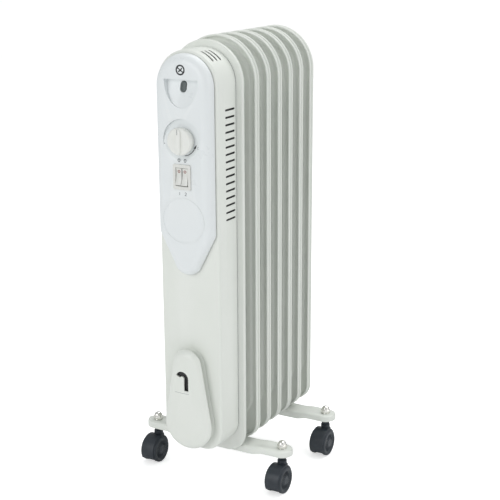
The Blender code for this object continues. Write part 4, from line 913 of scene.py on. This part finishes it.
def make_knob():
    _, y, z = JOINTS["thermostat_turn"]["pos_m"]
    low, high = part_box("thermostat_knob")
    radius, full = high.x, high.y - low.y
    depth = full - 3.0 * MM
    profile = [(0.0, depth - 0.5 * MM), (0.5 * radius, depth - 0.45 * MM),
               (radius - 3.4 * MM, depth - 0.1 * MM),
               (radius - 2.6 * MM, depth), (radius - 1.6 * MM, depth - 0.2 * MM),
               (radius - 0.8 * MM, depth - 0.9 * MM),
               (radius - 0.35 * MM, depth - 1.9 * MM), (radius, depth - 3.6 * MM),
               (radius - 0.6 * MM, 4.0 * MM),
               (radius - 1.2 * MM, 0.8 * MM), (radius - 1.5 * MM, 0.0), (0.0, 0.0)]
    disc = turned("knob", profile, (0, 0, 0), axis="Y", steps=96)
    sections = []
    reach = radius - 1.4 * MM
    for inset, drop in ((1.3 * MM, 0.05 * MM), (0.7 * MM, 0.2 * MM), (0.25 * MM, 0.7 * MM), (0.0, 1.5 * MM),
                        (-0.5 * MM, 5.0 * MM)):
        end = 3.6 * MM
        sections.append((hull_outline([(0.0, reach - end, end, 14), (0.0, -reach + end, end, 14)], inset),
                         drop - full))
    grip = loft("grip", sections, cap_front=True, cap_back=True)
    notch = prism("pointer", [(-0.55 * MM, reach - 7.5 * MM), (0.55 * MM, reach - 7.5 * MM),
                              (0.55 * MM, reach - 0.8 * MM),
                              (-0.55 * MM, reach - 0.8 * MM)], -full - 1 * MM, 0.55 * MM - full)
    socket = cylinder("socket", 3.3 * MM, 2 * (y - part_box("thermostat_shaft")[0].y + 0.4 * MM), (0, 0, 0),
                      steps=32)
    data = cut(cut(disc, grip, union=True), notch, socket)
    data = eased(data, 0.35 * MM, segments=3, angle=32)
    piece("thermostat_knob_cap", placed(data, Matrix.Translation((0, y, z))), KNOB, body="knob",
          stands_for=["thermostat_knob"])
    pointer = ribbon("pointer ink", [(0.0, reach - 7.2 * MM), (0.0, reach - 1.1 * MM)], 0.8 * MM,
                     0.53 * MM - full)
    piece("knob_pointer", placed(pointer, Matrix.Translation((0, y, z))), PALE_INK_AND_SHADE, body="knob")


def rounded_box(name, size, centre, radius, depth_radius=None, steps=6):
    """A block whose corners in the XZ plane are round, with a rounded front edge."""
    edge = radius * 0.45 if depth_radius is None else depth_radius
    half_x, half_z = size[0] / 2, size[2] / 2
    circles = [(-half_x + radius, half_z - radius, radius, steps),
               (-half_x + radius, -half_z + radius, radius, steps),
               (half_x - radius, -half_z + radius, radius, steps),
               (half_x - radius, half_z - radius, radius, steps)]
    sections = [(hull_outline(circles, inset), -size[1] / 2 + depth) for inset, depth in quarter(edge, 4)]
    sections.append((hull_outline(circles), size[1] / 2))
    return placed(loft(name, sections, cap_front=True, cap_back=True), Matrix.Translation(centre))


def make_switch():
    low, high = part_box("switch_housing")
    bezel = rounded_box("bezel", (high.x - low.x, 1.8 * MM, high.z - low.z), (0, low.y + 0.9 * MM, SWITCH_Z),
                        1.8 * MM, 0.7 * MM)
    body = block("body", (22.6 * MM, high.y - low.y - 0.9 * MM, 28 * MM),
                 (0, (low.y + high.y + 0.9 * MM) / 2, SWITCH_Z))
    opening = rounded_box("opening", (18.9 * MM, 24 * MM, 24.0 * MM), (0, low.y, SWITCH_Z), 0.8 * MM,
                          0.01 * MM)
    data = cut(cut(bezel, body, union=True), opening)
    data = eased(data, 0.25 * MM, segments=2, angle=40)
    piece("switch_bezel", data, ROCKER, stands_for=["switch_housing"])
    sleeve = cut(rounded_box("sleeve", (18.5 * MM, 0.6 * MM, 23.5 * MM), (0, low.y + 11.6 * MM, SWITCH_Z),
                             0.7 * MM, 0.05 * MM))
    # The thin black rib between the rockers is painted shade in the gap between them.
    gap_shade_rib = block("gap_shade_rib", (0.3 * MM, 9.0 * MM, 22.4 * MM), (0, low.y + 5.4 * MM, SWITCH_Z))
    piece("switch_floor_and_gap_shade", joined("switch_floor_and_gap_shade", [sleeve, gap_shade_rib]), BLACK)
    for word in ("left", "right"):
        make_rocker(word)


def make_rocker(word):
    """A rocker with a dished front, tilted to its off side, with a red ring near its pressed end."""
    pivot = Vector(JOINTS[f"rocker_{word}_tilt"]["pos_m"])
    half_width, half_height = 4.2 * MM, 11.2 * MM
    reach, dish = 3.7 * MM, 1.7 * MM
    profile = []
    for i in range(17):
        share = -1 + 2 * i / 16
        profile.append((-reach + dish * (1 - share * share), share * (half_height - 0.5 * MM)))
    profile += [(-reach + 1.0 * MM, half_height), (0.5 * MM, half_height - 0.9 * MM),
                (3.8 * MM, half_height * 0.5),
                (3.8 * MM, -half_height * 0.5), (0.5 * MM, -half_height + 0.9 * MM),
                (-reach + 1.0 * MM, -half_height)]
    bm = bmesh.new()
    rows = [[bm.verts.new((x, y, z)) for y, z in profile] for x in (-half_width, half_width)]
    count = len(profile)
    for i in range(count):
        bm.faces.new((rows[0][i], rows[0][(i + 1) % count], rows[1][(i + 1) % count], rows[1][i]))
    bm.faces.new(rows[0])
    bm.faces.new(rows[1])
    data = eased(smooth_data(bm, "rocker", 25), 0.5 * MM, segments=3, angle=30)
    tilt = Matrix.Translation(pivot) @ Matrix.Rotation(math.radians(-9), 4, "X")
    piece(f"rocker_{word}_cap", placed(data, tilt), ROCKER, body=f"rocker_{word}",
          stands_for=[f"rocker_{word}"])

    def level(x, z):
        share = z / (half_height - 0.5 * MM)
        return -reach + dish * (1 - share * share) - 0.015 * MM

    ring = ribbon("ring", arc_line(0, 6.9 * MM, 1.55 * MM, 0, 360, 28), 1.0 * MM, level, thick=0.05 * MM)
    dot = ribbon("dot", [(-0.35 * MM, 6.9 * MM), (0.35 * MM, 6.9 * MM)], 0.7 * MM, level, thick=0.05 * MM)
    piece(f"rocker_{word}_mark", placed(joined("mark", [ring, dot]), tilt), RED_INK, body=f"rocker_{word}")


# ---- Cord store ---------------------------------------------------------------------------------

def store_outline(inset=0.0):
    low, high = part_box("cord_store_cover")
    top_r, low_r = 22.0 * MM, high.x + 0.3 * MM
    return hull_outline([(0.0, high.z + 0.3 * MM - top_r, top_r, 30), (0.0, low.z + low_r, low_r, 40)],
                        inset + 0.3 * MM)


def hook_outline(grow=0.0):
    """The inverted J of the slot in the cover: over a bend and down to its lower end."""
    x, z, bend, half = -4.5 * MM, 172 * MM, 6.5 * MM, 3.4 * MM + grow
    outer = arc_line(x, z, bend + half, 0, 158, 20)
    inner = arc_line(x, z, bend - half, 158, 0, 20)
    foot = [(x + bend - half, z - 17 * MM - grow), (x + bend + half, z - 17 * MM - grow)]
    return foot + outer + inner


def make_cord_store():
    low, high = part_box("cord_store_cover")
    front, back = low.y, high.y
    rows = [(16.0, 0.0), (12.0, 0.02), (9.0, 0.07), (6.6, 0.15), (4.6, 0.26), (3.0, 0.40), (1.7, 0.56),
            (0.8, 0.72),
            (0.2, 0.86), (0.0, 0.95), (0.15, 1.0)]
    sections = [(store_outline(inset * MM), front + share * (back - front)) for inset, share in rows]
    cover = shelled(loft("cover", sections, cap_front=True), 2.0 * MM)
    slot = prism("hook", hook_outline(), front - 4 * MM, back + 1 * MM)
    cover = eased(cut(cover, slot), 0.45 * MM, segments=3, angle=42)
    piece("cord_store_lid", cover, POWDER, stands_for=["cord_store_cover"])
    # A black plate behind the hook slot: painted shade seen through the slot.
    hook_slot_shade = prism("hook_slot_shade", hook_outline(0.5 * MM), front + 3.4 * MM, front + 4.0 * MM)
    piece("cord_store_slot_shade", hook_slot_shade, BLACK)
    line = ribbon("line", [(-16 * MM, 151.5 * MM), (-5 * MM, 151.2 * MM), (6 * MM, 151.5 * MM)], 0.35 * MM,
                  front - 0.01 * MM)
    piece("cord_store_line", line, PALE_INK_AND_SHADE)
    neck_low, neck_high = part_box("cord_store_neck")
    y0, y1 = neck_low.y, neck_high.y
    rows = [(1.2, 0.0), (1.0, 0.04), (4.0, 0.10), (9.0, 0.18), (13.0, 0.28), (13.2, 0.50), (12.6, 0.66),
            (9.6, 0.78),
            (5.2, 0.88), (3.0, 0.95), (2.1, 1.0)]
    sections = [(store_outline(inset * MM), y0 + share * (y1 - y0)) for inset, share in rows]
    neck = loft("neck", sections, cap_front=True, cap_back=True)
    hollow = prism("hollow", store_outline(15.4 * MM), y0 + 2 * MM, y1 + 2 * MM)
    piece("cord_store_spool", eased(cut(neck, hollow), 0.2 * MM, angle=50), POWDER,
          stands_for=["cord_store_neck"])


# ---- Feet ---------------------------------------------------------------------------------------

def foot_shape(out, low, high):
    """Half width, top and skirt edge of a foot at a distance from the heater's middle."""
    half_width = (high.y - low.y) / 2
    end = high.x - half_width
    half = math.sqrt(max(half_width ** 2 - max(out - end, 0.0) ** 2, 0.0))
    share = min(max((out - 60 * MM) / (20 * MM), 0.0), 1.0)
    share = share * share * (3 - 2 * share)
    top = high.z - 1.9 * MM * (1 - share)
    return half, top, low.z + 3.7 * MM * share


def foot_solid(name, stations, middle, wall, box):
    """The foot's outer form, or its inside form a wall's thickness in, which reaches below the skirt."""
    low, high = box
    half_width = (high.y - low.y) / 2
    end = high.x - half_width
    bm = bmesh.new()
    rows = []
    for x in stations:
        half, top, skirt = foot_shape(min(abs(x) * high.x / (high.x - wall), high.x - 0.01 * MM), low, high)
        half, top = half * (half_width - wall) / half_width, top - wall
        skirt = skirt - 8 * MM if wall else skirt
        edge = min(3.0 * MM, 0.8 * half)
        ridge = min(max((abs(x) - 62 * MM) / (8 * MM), 0.0),
                    1.0) * min(max((end - 2 * MM - abs(x)) / (8 * MM), 0.0), 1.0)
        lift = -0.9 * MM * ridge
        rounds = [(edge * (1 - math.cos(a)), edge * (1 - math.sin(a))) for a in
                  (math.radians(30), math.radians(60), math.radians(90))]
        profile = [(-half, skirt), (-half, top - edge)] + [(-half + across, top - down) for across,
                                                           down in rounds]
        profile += [(-0.50 * half, top), (-0.40 * half, top + lift), (0.0, top + lift),
                    (0.40 * half, top + lift),
                    (0.50 * half, top)]
        profile += [(half - across, top - down) for across, down in reversed(rounds)]
        profile += [(half, top - edge), (half, skirt)]
        rows.append([bm.verts.new((x, middle + y, z)) for y, z in profile])
    count = len(rows[0])
    for near, far in zip(rows, rows[1:]):
        for i in range(count):
            bm.faces.new((near[i], far[i], far[(i + 1) % count], near[(i + 1) % count]))
    bm.faces.new(rows[0])
    bm.faces.new(rows[-1][::-1])
    return smooth_data(bm, name)


def make_foot(row):
    low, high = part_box(f"foot_{row}")
    middle = (low.y + high.y) / 2
    half_width = (high.y - low.y) / 2
    end = high.x - half_width
    outs = [0.0, 20 * MM, 40 * MM, 52 * MM] + [(60 + 2.5 * i) * MM for i in range(9)]
    outs += [90 * MM, end - 4 * MM, end]
    outs += [end + half_width * math.sin(math.radians(a))
             for a in (10, 20, 30, 40, 50, 59, 67, 74, 80, 84, 87)]
    stations = [-out for out in reversed(outs)] + outs[1:]
    solid = foot_solid("foot", stations, middle, 0.0, (low, high))
    inner = foot_solid("inside", [x * (1 - 2.0 * MM / high.x) for x in stations], middle, 2.0 * MM,
                       (low, high))
    sheet = cut(solid, inner)
    cutters = [cylinder("stud hole", 3.9 * MM, 30 * MM,
                        (JOINTS[f"castor_{row}_{word}_swivel"]["pos_m"][0], middle, high.z),
                        axis="Z", steps=32) for word in ("left", "right")]
    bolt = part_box(f"hook_bolt_{row}")
    cutters.append(cylinder("hook hole", 2.8 * MM, 30 * MM,
                            (bolt[1].x - 2.5 * MM, (bolt[0].y + bolt[1].y) / 2, high.z),
                            axis="Z", steps=24))
    data = eased(cut(sheet, *cutters), 0.3 * MM, segments=2, angle=50)
    piece(f"foot_{row}_pressing", data, POWDER, stands_for=[f"foot_{row}"])
    make_hook_bolt(row, bolt)


def make_hook_bolt(row, bolt):
    """A threaded bolt hooked over the lower header, with its wing nut below the foot."""
    y = (bolt[0].y + bolt[1].y) / 2
    radius = bolt[1].x - 2.5 * MM
    height = bolt[1].z - bolt[1].x
    points = [Vector((radius, y, bolt[0].z)), Vector((radius, y, height - 20 * MM)),
              Vector((radius, y, height))]
    points += [Vector((radius * math.cos(a), y, height + radius * math.sin(a)))
               for a in (math.radians(10 * i) for i in range(1, 21))]
    rod = tube("rod", points, 2.4 * MM)
    threads = [turned("thread", [(2.1 * MM, -0.4 * MM), (2.55 * MM, 0.0), (2.1 * MM, 0.4 * MM)],
                      (radius, y, bolt[0].z + (1.2 + 0.9 * i) * MM), steps=24,
                      closed=True) for i in range(12)]
    piece(f"hook_bolt_{row}_rod", joined("rod", [rod] + threads), ZINC, stands_for=[f"hook_bolt_{row}"])
    low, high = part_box(f"wing_nut_{row}")
    centre = ((low.x + high.x) / 2, y, 0)
    profile = [(2.8 * MM, high.z), (5.2 * MM, high.z), (5.5 * MM, high.z - 0.5 * MM),
               (4.4 * MM, low.z + 1.4 * MM),
               (3.9 * MM, low.z + 1.0 * MM), (2.8 * MM, low.z + 1.0 * MM)]
    hub = turned("hub", profile, centre, steps=32, closed=True)
    wings = []
    for side in (-1, 1):
        outline = hull_outline([(side * 4.8 * MM, 0.6 * MM, 1.6 * MM, 8),
                                (side * 9.8 * MM, 0.0, 2.9 * MM, 14)])
        wing = prism("wing", outline, -0.9 * MM, 0.9 * MM)
        wings.append(eased(placed(wing, Matrix.Translation((centre[0], y, (low.z + high.z) / 2 - 0.5 * MM))),
                           0.4 * MM))
    piece(f"wing_nut_{row}_cast", joined("wing nut", [hub] + wings), ZINC, stands_for=[f"wing_nut_{row}"])


# ---- Castors and nuts ---------------------------------------------------------------------------

def make_cap_nut(row, word):
    low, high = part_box(f"cap_nut_{row}_{word}")
    centre = ((low.x + high.x) / 2, (low.y + high.y) / 2)
    flat = (high.y - low.y) / 2
    corner = flat / math.cos(math.radians(30))
    height = high.z - low.z
    nut_top = low.z + 0.46 * height
    washer = turned("washer", [(3.0 * MM, low.z), (flat + 0.2 * MM, low.z),
                               (flat + 0.35 * MM, low.z + 0.25 * MM),
                               (flat + 0.2 * MM, low.z + 0.7 * MM), (3.0 * MM, low.z + 0.7 * MM)],
                    (*centre, 0), steps=64, closed=True)
    bm = bmesh.new()
    rows = []
    for z, radius in ((low.z + 0.7 * MM, corner), (nut_top, corner)):
        rows.append([bm.verts.new((centre[0] + radius * math.cos(math.radians(60 * i + 30)),
                                   centre[1] + radius * math.sin(math.radians(60 * i + 30)),
                                   z)) for i in range(6)])
    for i in range(6):
        bm.faces.new((rows[0][i], rows[0][(i + 1) % 6], rows[1][(i + 1) % 6], rows[1][i]))
    bm.faces.new(rows[0][::-1])
    bm.faces.new(rows[1])
    block_hex = smooth_data(bm, "hexagon", 20)
    cone = turned("chamfer", [(0.0, low.z), (corner + 0.05 * MM, low.z),
                              (corner + 0.05 * MM, nut_top - 0.9 * MM),
                              (flat - 0.1 * MM, nut_top + 0.02 * MM), (0.0, nut_top + 0.02 * MM)],
                  (*centre, 0), steps=64)
    data = intersected(block_hex, cone)
    radius = flat - 0.6 * MM
    dome = [(radius, nut_top - 0.3 * MM)]
    rise = high.z - nut_top
    dome += [(radius * math.cos(math.radians(a)), nut_top + rise * (0.18 + 0.82 * math.sin(math.radians(a))))
             for a in range(0, 91, 9)]
    dome = [(max(r, 0.0) if r > 1e-6 else 0.0, z) for r, z in dome]
    cap = turned("dome", [(0.0, nut_top - 0.3 * MM)] + dome, (*centre, 0), steps=64)
    data = eased(cut(data, cap, union=True), 0.2 * MM, segments=2, angle=30)
    piece(f"cap_nut_{row}_{word}_domed", joined("cap nut", [washer, data]), CHROME,
          stands_for=[f"cap_nut_{row}_{word}"])


def intersected(data, other):
    """What two meshes share."""
    tool = bpy.data.objects.new("shared", other)
    bpy.context.scene.collection.objects.link(tool)

    def setup(obj):
        modifier = obj.modifiers.new("shared", "BOOLEAN")
        modifier.operation = "INTERSECT"
        modifier.solver = "EXACT"
        modifier.object = tool

    result = baked(data, setup)
    bpy.data.objects.remove(tool)
    return result


def wheel_profile():
    """Half of a castor wheel's section, from the middle out: tread, shoulder, side wall, dish and hub."""
    low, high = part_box("wheel_front_left_a")
    radius, half = (high.z - low.z) / 2, (high.x - low.x) / 2
    rows = [(0.0, radius), (0.5, radius - 0.12 * MM), (0.78, radius - 0.5 * MM), (0.93, radius - 1.3 * MM),
            (1.0, radius - 2.6 * MM), (0.98, radius - 4.0 * MM), (0.82, radius - 4.6 * MM),
            (0.66, radius - 5.4 * MM),
            (0.60, radius - 8.0 * MM), (0.64, 7.0 * MM), (0.86, 6.2 * MM), (0.95, 5.6 * MM), (0.97, 4.6 * MM)]
    return radius, half, rows


def make_wheel(row, word, which):
    node = f"wheel_{row}_{word}_{which}"
    low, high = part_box(node)
    centre = (low + high) / 2
    radius, half, rows = wheel_profile()
    bore = 3.3 * MM
    right = [(r, share * half) for share, r in rows] + [(bore, 0.97 * half)]
    left = [(r, -h) for r, h in right[1:]][::-1]
    ring = turned("wheel", left + right, tuple(centre), axis="X", steps=72, closed=True)
    outward = 1 if which == "b" else -1
    cap = turned("hub cap", [(0.0, half - 0.1 * MM), (3.2 * MM, half - 0.15 * MM),
                             (4.2 * MM, half - 0.5 * MM),
                             (4.2 * MM, half - 0.9 * MM), (3.4 * MM, half - 0.9 * MM),
                             (3.4 * MM, half - 0.35 * MM),
                             (0.0, half - 0.35 * MM)], (0, 0, 0), axis="X", steps=32)
    cap = placed(cap, Matrix.Translation(centre) @ Matrix.Rotation(math.radians(0 if outward > 0 else 180), 4,
                                                                   "Z"))
    ribs = []
    for i in range(24):
        rib = block("rib", (0.9 * MM, 0.55 * MM, radius - 13.0 * MM),
                    (outward * (half - 1.1 * MM), 0, 6.6 * MM + (radius - 13.0 * MM) / 2))
        ribs.append(placed(rib, Matrix.Translation(centre) @ Matrix.Rotation(math.radians(15 * i), 4, "X")))
    data = joined("wheel", [ring, cap] + ribs)
    body = f"wheel_{row}_{word}_{which}"
    piece(f"{node}_moulding", data, NYLON, body=body, stands_for=[node])
    band = [(radius - 0.14 * MM + 0.12 * MM * math.cos(a), 0.5 * half * a / math.pi) for a in
            (math.pi * i / 6 for i in range(-6, 7))]
    grip = [(radius - 0.9 * MM, 0.5 * half)] + [(r, h) for r,
                                                h in band[::-1]] + [(radius - 0.9 * MM, -0.5 * half)]
    tread = turned("tread", grip, tuple(centre), axis="X", steps=72, closed=True)
    piece(f"{node}_tread", tread, TREAD, body=body)


def make_hood(row, word):
    """A smooth hood: a cover over both wheels, a web between them with the axle, and the stud's boss."""
    node = f"castor_hood_{row}_{word}"
    low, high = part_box(node)
    axle_low, axle_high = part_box(f"castor_axle_{row}_{word}")
    centre = (axle_low + axle_high) / 2
    wheel_low, wheel_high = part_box(f"wheel_{row}_{word}_a")
    wheel_r = (wheel_high.z - wheel_low.z) / 2
    web = centre.x - wheel_high.x - 0.3 * MM
    outer = centre.y - low.y
    stud_y = JOINTS[f"castor_{row}_{word}_swivel"]["pos_m"][1]
    half = (high.x - low.x) / 2 - 2.0 * MM
    round_edge = quarter(1.5 * MM, 5)
    sections = [(arc_line(0, 0, outer - inset, 0, 360, 96)[:-1], -half + depth) for inset,
                depth in round_edge]
    sections += [(arc_line(0, 0, outer - inset, 0, 360, 96)[:-1], half - depth) for inset,
                 depth in round_edge[::-1]]
    turn = Matrix.Translation(centre) @ Matrix.Rotation(math.radians(90), 4, "Z")
    cover = placed(loft("hood", sections, cap_front=True, cap_back=True), turn)
    boss_r = 6.5 * MM
    boss = turned("boss", [(0.0, high.z), (boss_r - 0.8 * MM, high.z), (boss_r, high.z - 0.8 * MM),
                           (boss_r, high.z - 5 * MM),
                           (boss_r + 1.6 * MM, high.z - 7.4 * MM), (boss_r + 1.6 * MM, centre.z + 6 * MM),
                           (0.0, centre.z + 6 * MM)],
                  (centre.x, stud_y, 0), steps=48)
    data = cut(cover, boss, union=True)
    cutters = []
    for side in (-1, 1):
        space = cylinder("wheel space", wheel_r + 0.4 * MM, 30 * MM,
                         (centre.x + side * (web + 15 * MM), centre.y, centre.z),
                         axis="X", steps=96)
        cutters.append(space)
    reach = 80 * MM
    cutters.append(block("open below", (reach, reach, reach), (centre.x, centre.y, low.z - reach / 2)))
    rear = centre.y + 0.35 * wheel_r
    cutters.append(block("open behind", (reach, reach, reach),
                         (centre.x, rear + reach / 2, centre.z + 5.2 * MM - reach / 2)))
    cutters.append(cylinder("axle bore", 3.3 * MM, reach, tuple(centre), axis="X", steps=32))
    stud_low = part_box(f"castor_stud_{row}_{word}")[0].z
    cutters.append(cylinder("stem bore", 4.4 * MM, reach, (centre.x, stud_y, stud_low - 0.3 * MM + reach / 2),
                            axis="Z",
                            steps=32))
    data = cut(data, *cutters)
    data = eased(data, 0.35 * MM, segments=3, angle=36)
    piece(f"{node}_cover", data, NYLON, body=f"castor_{row}_{word}", stands_for=[node])


def make_stud(row, word):
    """The stud that stands up through the foot, with the dark collar that the foot rests on."""
    node = f"castor_stud_{row}_{word}"
    low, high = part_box(node)
    x, y, _ = JOINTS[f"castor_{row}_{word}_swivel"]["pos_m"]
    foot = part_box(f"foot_{row}")[1].z
    hood_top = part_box(f"castor_hood_{row}_{word}")[1].z
    collar = (high.x - low.x) / 2
    pin = 4.0 * MM
    top = foot - 2.3 * MM
    stem = turned("stem", [(0.0, high.z), (0.8 * pin, high.z), (pin - 0.3 * MM, high.z - 0.8 * MM),
                           (pin - 0.3 * MM, top),
                           (pin - 0.05 * MM, top - 0.6 * MM), (pin - 0.05 * MM, low.z + 0.8 * MM),
                           (pin - 0.9 * MM, low.z),
                           (0.0, low.z)], (x, y, 0), steps=40)
    piece(f"{node}_pin", stem, ZINC, stands_for=[node])
    base = hood_top + 0.3 * MM
    ring = turned("collar", [(pin, top), (collar - 0.7 * MM, top), (collar, top - 0.7 * MM),
                             (collar, base + 4.6 * MM),
                             (collar - 1.1 * MM, base + 3.8 * MM), (collar - 1.1 * MM, base + 1.9 * MM),
                             (collar, base + 1.2 * MM), (collar, base + 0.6 * MM), (collar - 0.6 * MM, base),
                             (pin, base)],
                  (x, y, 0), steps=48, closed=True)
    piece(f"{node}_collar", ring, NYLON)


def make_castors():
    for row in ("front", "rear"):
        for word in ("left", "right"):
            make_hood(row, word)
            make_stud(row, word)
            make_cap_nut(row, word)
            for which in ("a", "b"):
                make_wheel(row, word, which)


# ---- Nodes that keep their shape ----------------------------------------------------------------

def refinish():
    """Procedural finishes for the CAD nodes whose own shape is shown."""
    kept = {"heating_element": COPPER, "element_flange": BRASS, "thermostat_body": BLACK,
            "thermostat_shaft": ZINC,
            "terminal_block": BLACK, "thermal_cutout": BRASS, "cord_gland": BLACK,
            "lead_element": BLACK, "lead_switch": BLACK, "lead_thermostat": BLACK}
    kept.update({node: ZINC for node in frame["nodes"] if node.startswith("castor_axle_")})
    for node, finish in kept.items():
        for place in frame["nodes"][node].material_slots:
            place.material = finish


# ---- Stage, light and camera --------------------------------------------------------------------

def make_stage():
    """A pale floor with a faint grain."""
    bm = bmesh.new()
    reach, steps = 4.0, 24
    grid = [[bm.verts.new((-reach + 2 * reach * i / steps, -reach + 2 * reach * j / steps,
                           0.0)) for j in range(steps + 1)]
            for i in range(steps + 1)]
    for i in range(steps):
        for j in range(steps):
            bm.faces.new((grid[i][j], grid[i + 1][j], grid[i + 1][j + 1], grid[i][j + 1]))
    data = bpy.data.meshes.new("studio_floor")
    bm.to_mesh(data)
    bm.free()
    finish = Finish("studio floor", (0.93, 0.93, 0.93), 0.85)
    finish.mottle(40.0, (0.92, 0.92, 0.92), (0.94, 0.94, 0.94))
    finish.set("Emission Color", (1.0, 1.0, 1.0, 1.0))
    nodes, links = finish.material.node_tree.nodes, finish.material.node_tree.links
    path, glow = nodes.new("ShaderNodeLightPath"), nodes.new("ShaderNodeMath")
    glow.operation = "MULTIPLY"
    glow.inputs[1].default_value = FLOOR_GLOW
    links.new(path.outputs["Is Camera Ray"], glow.inputs[0])
    links.new(glow.outputs[0], finish.shader.inputs["Emission Strength"])
    data.materials.append(finish.material)
    floor = bpy.data.objects.new("studio_floor", data)
    bpy.context.scene.collection.objects.link(floor)


FLOOR_GLOW = 0.55
ROOM_LIGHT = 0.55
BACKDROP_LIGHT = 1.02


def make_world():
    """Soft light from all round, and a plain white backdrop behind it."""
    world = bpy.data.worlds.new("studio")
    bpy.context.scene.world = world
    world.use_nodes = True
    nodes, links = world.node_tree.nodes, world.node_tree.links
    nodes.clear()
    room = nodes.new("ShaderNodeBackground")
    room.inputs["Color"].default_value = (0.97, 0.99, 1.0, 1.0)
    room.inputs["Strength"].default_value = ROOM_LIGHT
    backdrop = nodes.new("ShaderNodeBackground")
    backdrop.inputs["Color"].default_value = (1.0, 1.0, 1.0, 1.0)
    backdrop.inputs["Strength"].default_value = BACKDROP_LIGHT
    path = nodes.new("ShaderNodeLightPath")
    mix = nodes.new("ShaderNodeMixShader")
    out = nodes.new("ShaderNodeOutputWorld")
    links.new(path.outputs["Is Camera Ray"], mix.inputs["Fac"])
    links.new(room.outputs["Background"], mix.inputs[1])
    links.new(backdrop.outputs["Background"], mix.inputs[2])
    links.new(mix.outputs["Shader"], out.inputs["Surface"])


def area_light(name, place, target, size, power, colour=(1.0, 1.0, 1.0)):
    light = bpy.data.lights.new(name, "AREA")
    light.shape = "RECTANGLE"
    light.size, light.size_y = size
    light.energy = power
    light.color = colour
    obj = bpy.data.objects.new(name, light)
    obj.location = place
    obj.rotation_euler = (Vector(target) - Vector(place)).to_track_quat("-Z", "Y").to_euler()
    bpy.context.scene.collection.objects.link(obj)


def make_lights():
    middle = (0.0, 0.0, 0.3)
    area_light("key", (-0.6, -2.5, 1.2), middle, (1.5, 1.5), 18.5)
    area_light("side", (2.6, -0.2, 1.0), middle, (1.4, 1.8), 9.0)
    area_light("top", (0.4, 1.0, 2.4), middle, (2.0, 2.0), 28.0)


def make_camera():
    camera = bpy.data.cameras.new("camera")
    camera.lens = 83.26
    camera.sensor_width = 36.0
    camera.clip_start, camera.clip_end = 0.05, 30.0
    obj = bpy.data.objects.new("camera", camera)
    obj.location = (0.78756, BOX_LOW.y - 1.22975, 0.7548)
    yaw, pitch, roll = math.radians(29.54), math.radians(15.64), math.radians(-0.31)
    facing = Matrix.Rotation(yaw, 4, "Z") @ Matrix.Rotation(math.radians(90) - pitch, 4,
                                                            "X") @ Matrix.Rotation(roll, 4, "Z")
    obj.rotation_euler = facing.to_euler()
    bpy.context.scene.collection.objects.link(obj)
    bpy.context.scene.camera = obj
    bpy.context.scene.view_settings.view_transform = "Standard"


make_fins()
make_headers()
make_control_box()
make_box_seam()
make_slot_shade()
make_control_panel()
make_lens()
make_prints()
make_knob()
make_switch()
make_cord_store()
for foot_row in ("front", "rear"):
    make_foot(foot_row)
make_castors()
refinish()
make_stage()
make_world()
make_lights()
make_camera()
